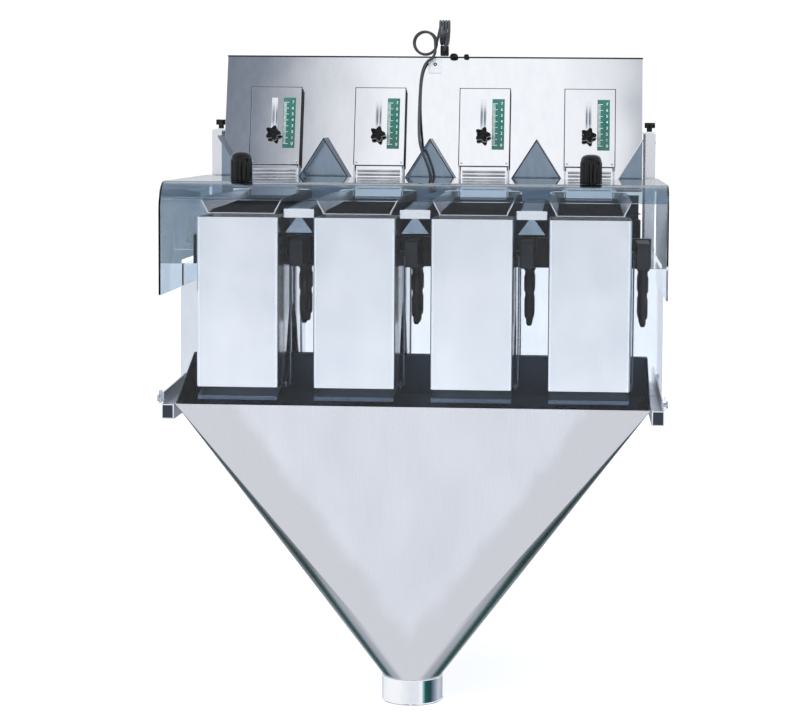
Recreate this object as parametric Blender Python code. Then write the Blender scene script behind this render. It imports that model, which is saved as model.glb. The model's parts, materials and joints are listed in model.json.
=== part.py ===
"""Four-head linear weigher for a vertical bagger: hopper, gates, feeder pans, weigh buckets, guard and chute.

Metres, +Z up, front towards -Y. The origin is the underside centre of the front cross member.
"""
import math

import bmesh
import bpy
from mathutils import Matrix, Vector

# ---- heads -----------------------------------------------------------------------------------
HEAD_COUNT = 4
HEAD_PITCH = 0.230
HEADS_HALF_WIDTH = HEAD_COUNT * HEAD_PITCH / 2
GAP = 0.0003                     # clearance between faces that touch
SHEET = 0.002                    # folded stainless sheet
LEANING_SHEET = 0.0026           # the same sheet measured along Y or X through a leaning wall
HEXAGON = 6

# ---- base frame ------------------------------------------------------------------------------
RAIL_WIDTH = 0.025
RAIL_HEIGHT = 0.030
RAIL_WALL = 0.002
RAIL_OUTER_X = HEADS_HALF_WIDTH + 0.033
MACHINE_FRONT_Y = -0.468         # the guard's front face
RAIL_FRONT_Y = MACHINE_FRONT_Y + 0.013
RAIL_REAR_Y = 0.447
REAR_MEMBER_Y = 0.410
PLUG_DEPTH = 0.012
BRACKET_HEIGHT = 0.024
BRACKET_RISE = 0.010
BRACKET_PLATE = 0.003
BRACKET_INSET = 0.004

# ---- chassis ---------------------------------------------------------------------------------
CHASSIS_HALF_WIDTH = HEADS_HALF_WIDTH + 0.0365
CHASSIS_FRONT_Y = -0.225
CHASSIS_REAR_Y = 0.447
CHASSIS_TOP = 0.292
REAR_COVER_PLATE = 0.002

# ---- weigh buckets ---------------------------------------------------------------------------
BUCKET_WIDTH = 0.161
BUCKET_DEPTH = 0.170
BUCKET_FRONT_Y = MACHINE_FRONT_Y + 0.028
BUCKET_TOP = CHASSIS_TOP + 0.106
BUCKET_FRONT_BOTTOM = 0.064
BUCKET_REAR_BEND = 0.200
MOUTH_DEPTH = 0.093
HOOK_WIDTH = 0.044
HOOK_BOTTOM = CHASSIS_TOP + 0.010
HOOK_TOP = CHASSIS_TOP + 0.052

# ---- dump flaps and their drives -------------------------------------------------------------
HINGE_Z = 0.0605
HINGE_RADIUS = 0.0035
FLAP_CLEAR = 0.003
FLAP_DROP = 0.014
FLAP_LIP = 0.006
LEVER_LENGTH = 0.040
DRIVE_Z = CHASSIS_TOP + 0.033
LINK_PLATE = 0.003
LINK_WIDTH = 0.012
PIN_RADIUS = 0.003
SHAFT_RADIUS = 0.0045
PIN_CLEAR = 0.0003
SIDE_CLEAR = 0.003
DRIVE_WIDTH = 0.026
DRIVE_BOTTOM = CHASSIS_TOP + 0.006
DRIVE_TOP = CHASSIS_TOP + 0.060
DRIVE_NOSE = 0.018
BEAM_DEPTH = 0.026
BEAM_OFFSET = 0.003

# ---- feeder pans and vibrators ---------------------------------------------------------------
PAN_FRONT_Y = BUCKET_FRONT_Y + 0.048
PAN_REAR_Y = 0.235
PAN_FLOOR_FRONT = CHASSIS_TOP + 0.113
PAN_SLOPE_DEG = 2.0
PAN_FLOOR_WIDTH = 0.134
PAN_TOP_WIDTH = 0.162
PAN_WALL_HEIGHT = 0.028
PAN_STROKE = 0.001
SADDLE_WIDTH = 0.070
SADDLE_FRONT_Y = -0.130
SADDLE_REAR_Y = 0.060
SADDLE_DEPTH = 0.014
VIBRATOR_WIDTH = 0.096
VIBRATOR_FRONT_Y = -0.150
VIBRATOR_REAR_Y = 0.070
VIBRATOR_HEIGHT = 0.056
SPRING_LEAF = 0.004
SPRING_WIDTH = 0.050
SPRING_LEAN = 0.012

# ---- hopper and gates ------------------------------------------------------------------------
HOPPER_HALF_WIDTH = HEADS_HALF_WIDTH
HOPPER_BOTTOM = CHASSIS_TOP + 0.166
HOPPER_TOP = HOPPER_BOTTOM + 0.273
HOPPER_REAR_TOP_Y = 0.450
HOPPER_REAR_BOTTOM_Y = 0.236
GATE_LEAN_DEG = 15.0
GATE_Y = 0.085                   # outer face of the gate housings at GATE_Z
GATE_Z = HOPPER_BOTTOM + 0.067
HOUSING_WIDTH = 0.109
HOUSING_DEPTH = 0.022
HOUSING_TOP = 0.1398             # measured up the slope from GATE_Z
HOUSING_BOTTOM = -0.0342
FLANGE_BOTTOM = -0.0985
SLOT_WIDTH = 0.010
GATE_SIDE_CLEAR = 0.002
GATE_SETBACK = 0.0065
GATE_BOTTOM = -0.1030
GATE_TOP = 0.0520
GATE_TRAVEL = 0.075
KNOB_UP = 0.0321
KNOB_X = -0.003
STUD_RADIUS = 0.004
OUTLET_WIDTH = HOUSING_WIDTH - 0.009
OUTLET_TOP = -0.0360
GATE_KNOB_RADIUS = 0.0175
GATE_KNOB_HEIGHT = 0.020
GATE_KNOB_NECK = 0.007           # height at which the lobes start
KNOB_LOBES = 5
GATE_KNOB_WAVE = 0.006
GATE_KNOB_BOSS = 0.008
LUG_PLATE = 0.003

# ---- dividers between the pans ---------------------------------------------------------------
RIDGE_SIDE_CLEAR = 0.0045
RIDGE_HALF_WIDTH = (HEAD_PITCH - HOUSING_WIDTH) / 2 - RIDGE_SIDE_CLEAR
RIDGE_BASE = HOPPER_BOTTOM + 0.005
RIDGE_PEAK = RIDGE_BASE + 0.088
RIDGE_FRONT_Y = 0.020
DIVIDER_PLATE_Y = 0.070
STRIP_HALF_WIDTH = 0.021
STRIP_SKIRT = 0.009
STRIP_DROP = 0.016
STRIP_RAISE = 0.008
STRIP_PAN_CLEAR = 0.003
STRIP_END_DROP = 0.016

# ---- side columns ----------------------------------------------------------------------------
COLUMN_INNER_X = HOPPER_HALF_WIDTH + 0.007
COLUMN_OUTER_X = COLUMN_INNER_X + 0.022
COLUMN_FRONT_Y = 0.118
COLUMN_REAR_Y = 0.278
COLUMN_TOP = HOPPER_BOTTOM + 0.107
LUG_Y = 0.1555
LUG_LENGTH = 0.060
COLUMN_KNOB_RADIUS = 0.0125
COLUMN_KNOB_HEIGHT = 0.020
COLUMN_KNOB_NECK = 0.008
COLUMN_KNOB_WAVE = 0.004
COLUMN_STEM_RADIUS = 0.006
COLUMN_KNOB_X = COLUMN_INNER_X + 0.0085

# ---- guard cover -----------------------------------------------------------------------------
COVER_HALF_WIDTH = HEADS_HALF_WIDTH + 0.0355
COVER_FRONT_Y = MACHINE_FRONT_Y
COVER_BOTTOM = 0.033
COVER_TOP = CHASSIS_TOP + 0.175
COVER_SHEET = 0.0035
COVER_BEND = 0.055
COVER_BEND_STEPS = 8
COVER_REAR_Y = 0.000
EAR_REAR_Y = 0.105
EAR_INNER_X = COLUMN_INNER_X + 0.002
CHEEK_BOTTOM = CHASSIS_TOP - 0.047
CHEEK_STEP = CHASSIS_TOP + 0.008
COVER_PIVOT_Y = COVER_FRONT_Y + 0.008
COVER_PIVOT_Z = COVER_BOTTOM + 0.010
PIVOT_RADIUS = 0.004
PIVOT_CLEAR = 0.0004
BOLT_HEAD_RADIUS = 0.0072
TAB_SIZE = 0.024
NOTCH_CLEAR = 0.0015             # each side of the pivot bracket, in the front sheet's lower edge
NOTCH_HEIGHT = 0.030
COVER_KNOB_RADIUS = 0.0215
COVER_KNOB_HEIGHT = 0.058
COVER_KNOB_Y = COVER_FRONT_Y + 0.080
COVER_KNOB_SHOULDER = 0.0475     # height at which the grip narrows
COVER_KNOB_TAPER = 0.92
COVER_KNOB_FLUTES = 12
COVER_KNOB_WAVE = 0.0035

# ---- chute and outlet ------------------------------------------------------------------------
CHUTE_HALF_WIDTH = HEADS_HALF_WIDTH + 0.006
CHUTE_FRONT_Y = BUCKET_FRONT_Y - 0.012
CHUTE_REAR_Y = CHASSIS_FRONT_Y - 0.011
CHUTE_TOP = 0.030
CHUTE_BACK_TOP = 0.110
OUTLET_Z = -0.516
OUTLET_Y = -0.385
OUTLET_RADIUS = 0.058
CORNER_STEPS = 10
COLLAR_RADIUS = 0.0605
COLLAR_WALL = 0.004
COLLAR_HEIGHT = 0.0495
COLLAR_BEAD = 0.003
COLLAR_ROLL = 0.001

# ---- control cord ----------------------------------------------------------------------------
CORD_RADIUS = 0.003
CORD_SPACING = 0.0075
CORD_ROUTE = [
    (0.0040, 0.0455, 0.4520), (0.0040, 0.0360, 0.4522), (0.0040, 0.0260, 0.4550), (0.0036, 0.0175, 0.4620),
    (0.0025, 0.0125, 0.4730), (-0.0015, 0.0105, 0.4880), (-0.0075, 0.0105, 0.5040), (-0.0150, 0.0130, 0.5220),
    (-0.0205, 0.0200, 0.5390), (-0.0238, 0.0360, 0.5560), (-0.0262, 0.0600, 0.5740), (-0.0280, 0.0850, 0.5910),
    (-0.0290, 0.1060, 0.6090), (-0.0295, 0.1210, 0.6290), (-0.0293, 0.1310, 0.6500), (-0.0285, 0.1380, 0.6720),
    (-0.0262, 0.1435, 0.6920), (-0.0215, 0.1485, 0.7090), (-0.0140, 0.1520, 0.7205), (-0.0060, 0.1540, 0.7258),
    (-0.0005, 0.1546, 0.7332), (0.0022, 0.1547, 0.7420),
]
GLAND_RADIUS = 0.008
GLAND_TIP_RADIUS = 0.0056
GLAND_LENGTH = 0.0235
RING_SIDES = 12
COIL_RADIUS = 0.0255
COIL_CENTRE = (-0.0205, 0.1640, 0.7605)
COIL_TURNS = 2
BUNDLE_TURNS = 4
BUNDLE_X = 0.0225
CORD_PLUG_WIDTH = 0.018
CORD_PLUG_DEPTH = 0.016
CORD_PLUG_HEIGHT = 0.0225

LEAN = math.radians(GATE_LEAN_DEG)
PAN_RISE = math.tan(math.radians(PAN_SLOPE_DEG))


# ---- finishes --------------------------------------------------------------------------------
def finish(name, colour, roughness, metallic):
    """Return a Principled material with the given base colour, roughness and metallic value."""
    material = bpy.data.materials.new(name)
    material.use_nodes = True
    shader = material.node_tree.nodes["Principled BSDF"]
    shader.inputs["Base Color"].default_value = (*colour, 1.0)
    shader.inputs["Roughness"].default_value = roughness
    shader.inputs["Metallic"].default_value = metallic
    return material


# ---- shapes ----------------------------------------------------------------------------------
def block(low, high):
    """A box between two corners."""
    shape = bmesh.new()
    bmesh.ops.create_cube(shape, size=1.0)
    low, high = Vector(low), Vector(high)
    bmesh.ops.transform(shape, matrix=Matrix.Diagonal((*(high - low), 1.0)), verts=shape.verts)
    bmesh.ops.translate(shape, vec=(low + high) / 2, verts=shape.verts)
    return shape


def extrusion(points, step):
    """A closed prism: a flat outline moved by the vector step."""
    shape = bmesh.new()
    outline = [shape.verts.new(point) for point in points]
    face = shape.faces.new(outline)
    grown = bmesh.ops.extrude_face_region(shape, geom=[face])["geom"]
    moved = [item for item in grown if isinstance(item, bmesh.types.BMVert)]
    bmesh.ops.translate(shape, vec=step, verts=moved)
    bmesh.ops.recalc_face_normals(shape, faces=shape.faces)
    return shape


def prism_x(outline, x_low, x_high):
    """An outline of (y, z) points extruded along X."""
    return extrusion([(x_low, y, z) for y, z in outline], (x_high - x_low, 0, 0))


def prism_y(outline, y_low, y_high):
    """An outline of (x, z) points extruded along Y."""
    return extrusion([(x, y_low, z) for x, z in outline], (0, y_high - y_low, 0))


def prism_z(outline, z_low, z_high):
    """An outline of (x, y) points extruded along Z."""
    return extrusion([(x, y, z_low) for x, y in outline], (0, 0, z_high - z_low))


def cylinder(start, end, radius, sides=16, end_radius=None):
    """A closed round bar between two points, tapered if end_radius is given."""
    start, end = Vector(start), Vector(end)
    shape = bmesh.new()
    top = radius if end_radius is None else end_radius
    bmesh.ops.create_cone(shape, cap_ends=True, segments=sides, radius1=radius, radius2=top,
                          depth=(end - start).length)
    turn = (end - start).to_track_quat("Z", "Y").to_matrix().to_4x4()
    bmesh.ops.transform(shape, matrix=Matrix.Translation((start + end) / 2) @ turn, verts=shape.verts)
    return shape


def lobed_outline(radius, depth, lobes, steps):
    """Points round a knob whose edge waves in by depth between its lobes."""
    points = []
    for index in range(lobes * steps):
        angle = 2 * math.pi * index / (lobes * steps)
        reach = radius - depth * (1 - math.cos(lobes * angle)) / 2
        points.append((reach * math.cos(angle), reach * math.sin(angle)))
    return points


def tube_x(x_low, x_high, y_low, y_high, z_low, z_high, wall):
    """A rectangular tube along X, open at both ends, as a shell and its cutter."""
    shell = block((x_low, y_low, z_low), (x_high, y_high, z_high))
    bore = block((x_low - wall, y_low + wall, z_low + wall), (x_high + wall, y_high - wall, z_high - wall))
    return shell, bore


def gate_matrix():
    """Place of the gates' slope: X across, Y up the slope, Z out towards the front."""
    up = Vector((0, math.sin(LEAN), math.cos(LEAN)))
    out = Vector((0, -math.cos(LEAN), math.sin(LEAN)))
    turn = Matrix((Vector((1, 0, 0)), up, out)).transposed().to_4x4()
    return Matrix.Translation((0, GATE_Y, GATE_Z)) @ turn


def slope_block(low, high):
    """A box given in the gates' slope: across, up the slope, out of it."""
    shape = block(low, high)
    bmesh.ops.transform(shape, matrix=gate_matrix(), verts=shape.verts)
    return shape


def slope_point(across, up, out):
    """A point of the gates' slope in the object's frame."""
    return gate_matrix() @ Vector((across, up, out))


def wall_y(z, out):
    """Y of the plane that lies out from the gate plates' face, at height z."""
    up = (z - GATE_Z - out * math.sin(LEAN)) / math.cos(LEAN)
    return GATE_Y + up * math.sin(LEAN) - out * math.cos(LEAN)


def pan_z(y):
    """Height of the pans' floor at a place along them."""
    return PAN_FLOOR_FRONT + (y - PAN_FRONT_Y) * PAN_RISE


# ---- objects ---------------------------------------------------------------------------------
def loose(shape):
    """A helper object that holds a shape while it is cut or joined."""
    mesh = bpy.data.meshes.new("helper")
    shape.to_mesh(mesh)
    shape.free()
    helper = bpy.data.objects.new("helper", mesh)
    bpy.context.scene.collection.objects.link(helper)
    return helper


def make(name, material, shapes, cuts=(), origin=(0, 0, 0)):
    """Join shapes into one body, cut it, and name it. Its origin goes to the given point."""
    body = loose(shapes[0])
    helpers = []
    for operation, tools in (("UNION", shapes[1:]), ("DIFFERENCE", cuts)):
        for shape in tools:
            helper = loose(shape)
            modifier = body.modifiers.new(operation.title(), "BOOLEAN")
            modifier.operation = operation
            modifier.solver = "EXACT"
            modifier.object = helper
            helpers.append(helper)
    mesh = bpy.data.meshes.new_from_object(body.evaluated_get(bpy.context.evaluated_depsgraph_get()))
    for helper in [body, *helpers]:
        bpy.data.objects.remove(helper)
    mesh.name = name
    mesh.transform(Matrix.Translation(-Vector(origin)))
    mesh.materials.clear()
    mesh.materials.append(material)
    for polygon in mesh.polygons:
        polygon.material_index = 0
    mesh.shade_smooth()
    mesh.set_sharp_from_angle(angle=math.radians(35))
    piece = bpy.data.objects.new(name, mesh)
    piece.location = origin
    bpy.context.scene.collection.objects.link(piece)
    return piece


def side_name(side):
    """left for -X and right for +X, seen from the front."""
    return "left" if side < 0 else "right"


def head_x(index):
    """X of one head's centre line."""
    return (index - (HEAD_COUNT - 1) / 2) * HEAD_PITCH


# ---- base frame ------------------------------------------------------------------------------
def make_rails(steel, pin_steel):
    """Two hollow rails with the guard's pivot brackets on top, and a plug in each front end."""
    for side in (-1, 1):
        outer = side * RAIL_OUTER_X
        inner = side * (RAIL_OUTER_X - RAIL_WIDTH)
        low_x, high_x = min(outer, inner), max(outer, inner)
        rail = block((low_x, RAIL_FRONT_Y, 0), (high_x, RAIL_REAR_Y, RAIL_HEIGHT))
        bore = block((low_x + RAIL_WALL, RAIL_FRONT_Y - RAIL_WALL, RAIL_WALL),
                     (high_x - RAIL_WALL, RAIL_REAR_Y + RAIL_WALL, RAIL_HEIGHT - RAIL_WALL))
        plate_x = side * (RAIL_OUTER_X - BRACKET_INSET)
        plate_end = plate_x - side * BRACKET_PLATE
        top = RAIL_HEIGHT + BRACKET_HEIGHT
        nose = COVER_PIVOT_Y - PIVOT_RADIUS
        bracket = prism_x([(RAIL_FRONT_Y, RAIL_HEIGHT - RAIL_WALL / 2),
                           (CHASSIS_FRONT_Y - FLAP_CLEAR, RAIL_HEIGHT - RAIL_WALL / 2),
                           (CHASSIS_FRONT_Y - FLAP_CLEAR, top + BRACKET_RISE),
                           (nose, top),
                           (nose, COVER_PIVOT_Z - PIVOT_RADIUS)],
                          min(plate_x, plate_end), max(plate_x, plate_end))
        pin = cylinder((plate_end, COVER_PIVOT_Y, COVER_PIVOT_Z),
                        (side * (COVER_HALF_WIDTH + PIVOT_RADIUS / 2), COVER_PIVOT_Y, COVER_PIVOT_Z),
                        PIVOT_RADIUS)
        head = cylinder((side * (COVER_HALF_WIDTH + GAP), COVER_PIVOT_Y, COVER_PIVOT_Z),
                        (side * (COVER_HALF_WIDTH + PIVOT_RADIUS), COVER_PIVOT_Y, COVER_PIVOT_Z),
                        BOLT_HEAD_RADIUS, HEXAGON)
        make(f"{side_name(side)}_rail", steel, [rail, bracket, pin, head], [bore])
        plug = block((low_x + RAIL_WALL + GAP, RAIL_FRONT_Y + GAP, RAIL_WALL + GAP),
                     (high_x - RAIL_WALL - GAP, RAIL_FRONT_Y + PLUG_DEPTH, RAIL_HEIGHT - RAIL_WALL - GAP))
        make(f"{side_name(side)}_rail_plug", pin_steel, [plug])


def make_cross_members(steel):
    """Two tubes between the rails. The front one carries the object's origin under its middle."""
    reach = RAIL_OUTER_X - RAIL_WIDTH - GAP
    for name, y in (("front_cross_member", 0.0), ("rear_cross_member", REAR_MEMBER_Y)):
        shell, bore = tube_x(-reach, reach, y - RAIL_WIDTH / 2, y + RAIL_WIDTH / 2, 0, RAIL_HEIGHT, RAIL_WALL)
        make(name, steel, [shell], [bore])


def make_chassis(steel, cover_steel):
    """The drive box on the rails, open at the back, and the plate that closes it."""
    low_z = RAIL_HEIGHT + GAP
    shell = block((-CHASSIS_HALF_WIDTH, CHASSIS_FRONT_Y, low_z),
                  (CHASSIS_HALF_WIDTH, CHASSIS_REAR_Y, CHASSIS_TOP))
    room = block((-CHASSIS_HALF_WIDTH + SHEET, CHASSIS_FRONT_Y + SHEET, low_z + SHEET),
                 (CHASSIS_HALF_WIDTH - SHEET, CHASSIS_REAR_Y + SHEET, CHASSIS_TOP - SHEET))
    make("chassis", steel, [shell], [room])
    plate_y = CHASSIS_REAR_Y + GAP
    plate = block((-CHASSIS_HALF_WIDTH, plate_y, low_z),
                  (CHASSIS_HALF_WIDTH, plate_y + REAR_COVER_PLATE, CHASSIS_TOP))
    make("rear_cover", cover_steel, [plate])


# ---- buckets, flaps and drives ---------------------------------------------------------------
def link_planes(x):
    """X ranges of the levers and arms, of the link rods, and of the drive's near face."""
    lever = x + BUCKET_WIDTH / 2 + SIDE_CLEAR
    link = lever + LINK_PLATE + GAP
    drive = link + LINK_PLATE + SIDE_CLEAR
    return lever, link, drive


def make_bucket(name, x, steel):
    """A tall bucket, open at top and bottom, whose rear wall slopes forward to a narrow mouth."""
    rear_y = BUCKET_FRONT_Y + BUCKET_DEPTH
    mouth_y = BUCKET_FRONT_Y + MOUTH_DEPTH
    half = BUCKET_WIDTH / 2
    mouth_z = HINGE_Z + HINGE_RADIUS + FLAP_CLEAR
    outer = [(BUCKET_FRONT_Y, BUCKET_FRONT_BOTTOM), (mouth_y, mouth_z), (rear_y, BUCKET_REAR_BEND),
             (rear_y, BUCKET_TOP), (BUCKET_FRONT_Y, BUCKET_TOP)]
    inner = [(BUCKET_FRONT_Y + SHEET, BUCKET_FRONT_BOTTOM - SHEET * 4), (mouth_y - SHEET, mouth_z - SHEET * 4),
             (mouth_y - LEANING_SHEET, mouth_z), (rear_y - SHEET, BUCKET_REAR_BEND + SHEET / 2),
             (rear_y - SHEET, BUCKET_TOP + SHEET), (BUCKET_FRONT_Y + SHEET, BUCKET_TOP + SHEET)]
    body = prism_x(outer, x - half, x + half)
    room = prism_x(inner, x - half + SHEET, x + half - SHEET)
    beam_y = CHASSIS_FRONT_Y + BEAM_OFFSET
    hook = block((x - HOOK_WIDTH / 2, rear_y - SHEET / 2, HOOK_BOTTOM),
                 (x + HOOK_WIDTH / 2, beam_y - GAP, HOOK_TOP))
    make(name, steel, [body, hook], [room])


def make_flap(name, x, steel):
    """The bucket's bottom door: hinge tube, sloping plate with a lip, and a lever beside the bucket."""
    hinge_y = BUCKET_FRONT_Y + MOUTH_DEPTH
    half = BUCKET_WIDTH / 2 - SHEET
    lever_x, link_x, _ = link_planes(x)
    tube = cylinder((x - half, hinge_y, HINGE_Z), (lever_x + LINK_PLATE / 2, hinge_y, HINGE_Z),
                    HINGE_RADIUS, 12)
    tip_y = BUCKET_FRONT_Y + SHEET / 2
    tip_z = HINGE_Z - FLAP_DROP
    plate = prism_x([(hinge_y, HINGE_Z), (hinge_y, HINGE_Z - SHEET), (tip_y, tip_z - SHEET), (tip_y, tip_z)],
                    x - half, x + half)
    lip = prism_x([(tip_y, tip_z - SHEET), (tip_y, tip_z - SHEET - FLAP_LIP),
                   (tip_y + SHEET, tip_z - SHEET - FLAP_LIP), (tip_y + SHEET, tip_z - SHEET / 2)],
                  x - half, x + half)
    lever = prism_x([(hinge_y - LINK_WIDTH / 2, HINGE_Z - LINK_WIDTH / 2),
                     (hinge_y + LEVER_LENGTH + LINK_WIDTH / 2, HINGE_Z - LINK_WIDTH / 2),
                     (hinge_y + LEVER_LENGTH + LINK_WIDTH / 2, HINGE_Z + LINK_WIDTH / 2),
                     (hinge_y - LINK_WIDTH / 2, HINGE_Z + LINK_WIDTH / 2)], lever_x, lever_x + LINK_PLATE)
    pin_y = hinge_y + LEVER_LENGTH
    pin = cylinder((lever_x + LINK_PLATE / 2, pin_y, HINGE_Z), (link_x + LINK_PLATE, pin_y, HINGE_Z),
                   PIN_RADIUS, 12)
    make(name, steel, [tube, plate, lip, lever, pin], origin=(x, hinge_y, HINGE_Z))


def make_drive_arm(name, x, steel):
    """The motor's crank: parallel to the flap's lever and as long."""
    hinge_y = BUCKET_FRONT_Y + MOUTH_DEPTH
    lever_x, link_x, drive_x = link_planes(x)
    arm = prism_x([(hinge_y - LINK_WIDTH / 2, DRIVE_Z - LINK_WIDTH / 2),
                   (hinge_y + LEVER_LENGTH + LINK_WIDTH / 2, DRIVE_Z - LINK_WIDTH / 2),
                   (hinge_y + LEVER_LENGTH + LINK_WIDTH / 2, DRIVE_Z + LINK_WIDTH / 2),
                   (hinge_y - LINK_WIDTH / 2, DRIVE_Z + LINK_WIDTH / 2)], lever_x, lever_x + LINK_PLATE)
    shaft = cylinder((lever_x + LINK_PLATE / 2, hinge_y, DRIVE_Z), (drive_x - GAP, hinge_y, DRIVE_Z),
                     SHAFT_RADIUS, 12)
    pin_y = hinge_y + LEVER_LENGTH
    pin = cylinder((lever_x + LINK_PLATE / 2, pin_y, DRIVE_Z), (link_x + LINK_PLATE, pin_y, DRIVE_Z),
                   PIN_RADIUS, 12)
    make(name, steel, [arm, shaft, pin], origin=(x, hinge_y, DRIVE_Z))


def make_link_rod(name, x, steel):
    """The upright rod that joins the crank's pin to the lever's pin."""
    pin_y = BUCKET_FRONT_Y + MOUTH_DEPTH + LEVER_LENGTH
    _, link_x, _ = link_planes(x)
    bar = block((link_x, pin_y - LINK_WIDTH / 2, HINGE_Z - LINK_WIDTH / 2),
                (link_x + LINK_PLATE, pin_y + LINK_WIDTH / 2, DRIVE_Z + LINK_WIDTH / 2))
    hole_radius = PIN_RADIUS + PIN_CLEAR
    holes = [cylinder((link_x - LINK_PLATE, pin_y, z), (link_x + 2 * LINK_PLATE, pin_y, z), hole_radius, 12)
             for z in (HINGE_Z, DRIVE_Z)]
    make(name, steel, [bar], holes, origin=(x, pin_y, DRIVE_Z))


def make_drive_beam(steel):
    """The cross beam that carries the load cells, with one door drive reaching forward at each bucket."""
    low_y = CHASSIS_FRONT_Y + BEAM_OFFSET
    low_z = CHASSIS_TOP + GAP
    reach = CHASSIS_HALF_WIDTH - BEAM_DEPTH
    shapes = [block((-reach, low_y, low_z), (reach, low_y + BEAM_DEPTH, DRIVE_TOP))]
    hinge_y = BUCKET_FRONT_Y + MOUTH_DEPTH
    for index in range(HEAD_COUNT):
        _, _, drive_x = link_planes(head_x(index))
        shapes.append(block((drive_x, hinge_y - DRIVE_NOSE, DRIVE_BOTTOM),
                            (drive_x + DRIVE_WIDTH, low_y + BEAM_DEPTH / 2, DRIVE_TOP - SHEET)))
    make("drive_beam", steel, shapes)


# ---- pans and vibrators ----------------------------------------------------------------------
def make_pan(name, x, steel):
    """A flared trough that slopes down to the bucket, with a saddle for the vibrator's springs."""
    low, high = PAN_FLOOR_WIDTH / 2, PAN_TOP_WIDTH / 2
    outline = [(-low, -SHEET), (low, -SHEET), (high, PAN_WALL_HEIGHT), (high - SHEET, PAN_WALL_HEIGHT),
               (low - SHEET, 0), (-low + SHEET, 0), (-high + SHEET, PAN_WALL_HEIGHT), (-high, PAN_WALL_HEIGHT)]
    trough = prism_y([(x + across, up) for across, up in outline], PAN_FRONT_Y, PAN_REAR_Y)
    end_low, end_high = low - SHEET, high - SHEET / 2
    end_top = PAN_WALL_HEIGHT - SHEET / 2
    end = prism_y([(x - end_low, -SHEET / 2), (x + end_low, -SHEET / 2), (x + end_high, end_top),
                   (x - end_high, end_top)], PAN_REAR_Y - 2 * SHEET, PAN_REAR_Y - SHEET / 2)
    saddle = block((x - SADDLE_WIDTH / 2, SADDLE_FRONT_Y, -SHEET / 2 - SADDLE_DEPTH),
                   (x + SADDLE_WIDTH / 2, SADDLE_REAR_Y, -SHEET / 2))
    for shape in (trough, end, saddle):
        for vertex in shape.verts:
            vertex.co.z += pan_z(vertex.co.y)
    make(name, steel, [trough, end, saddle], origin=(x, PAN_FRONT_Y, PAN_FLOOR_FRONT))


def make_vibrator(name, x, grey):
    """Magnet block on the chassis with two leaning spring leaves that reach up to the pan's saddle."""
    low_z = CHASSIS_TOP + GAP
    top = low_z + VIBRATOR_HEIGHT
    shapes = [block((x - VIBRATOR_WIDTH / 2, VIBRATOR_FRONT_Y, low_z),
                    (x + VIBRATOR_WIDTH / 2, VIBRATOR_REAR_Y, top))]
    for y in (SADDLE_FRONT_Y + 2 * SPRING_LEAN, SADDLE_REAR_Y - SPRING_LEAN):
        tip_z = pan_z(y - SPRING_LEAN) - SHEET - SADDLE_DEPTH - 3 * PAN_STROKE
        shapes.append(prism_x([(y, top - SHEET), (y + SPRING_LEAF, top - SHEET),
                               (y + SPRING_LEAF - SPRING_LEAN, tip_z), (y - SPRING_LEAN, tip_z)],
                              x - SPRING_WIDTH / 2, x + SPRING_WIDTH / 2))
    make(name, grey, shapes)


# ---- hopper, gates and dividers --------------------------------------------------------------
def roof_points(x, half_width, thickness):
    """The (x, z) outline of a folded inverted-V sheet."""
    drop = thickness / SHEET * LEANING_SHEET
    inner = half_width - drop
    return [(x - half_width, RIDGE_BASE), (x, RIDGE_PEAK), (x + half_width, RIDGE_BASE),
            (x + inner, RIDGE_BASE), (x, RIDGE_PEAK - 2 * thickness), (x - inner, RIDGE_BASE)]


def between_planes(outline, front, rear):
    """A prism along Y whose front and rear ends follow two slopes, each a function of z."""
    shape = prism_y(outline, 0.0, 1.0)
    for vertex in shape.verts:
        place = rear if vertex.co.y > 0.5 else front
        vertex.co.y = place(vertex.co.z)
    bmesh.ops.recalc_face_normals(shape, faces=shape.faces)
    return shape


def hopper_rear_y(z):
    """Y of the hopper's outer rear face at height z."""
    share = (z - HOPPER_BOTTOM) / (HOPPER_TOP - HOPPER_BOTTOM)
    return HOPPER_REAR_BOTTOM_Y + share * (HOPPER_REAR_TOP_Y - HOPPER_REAR_BOTTOM_Y)


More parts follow.
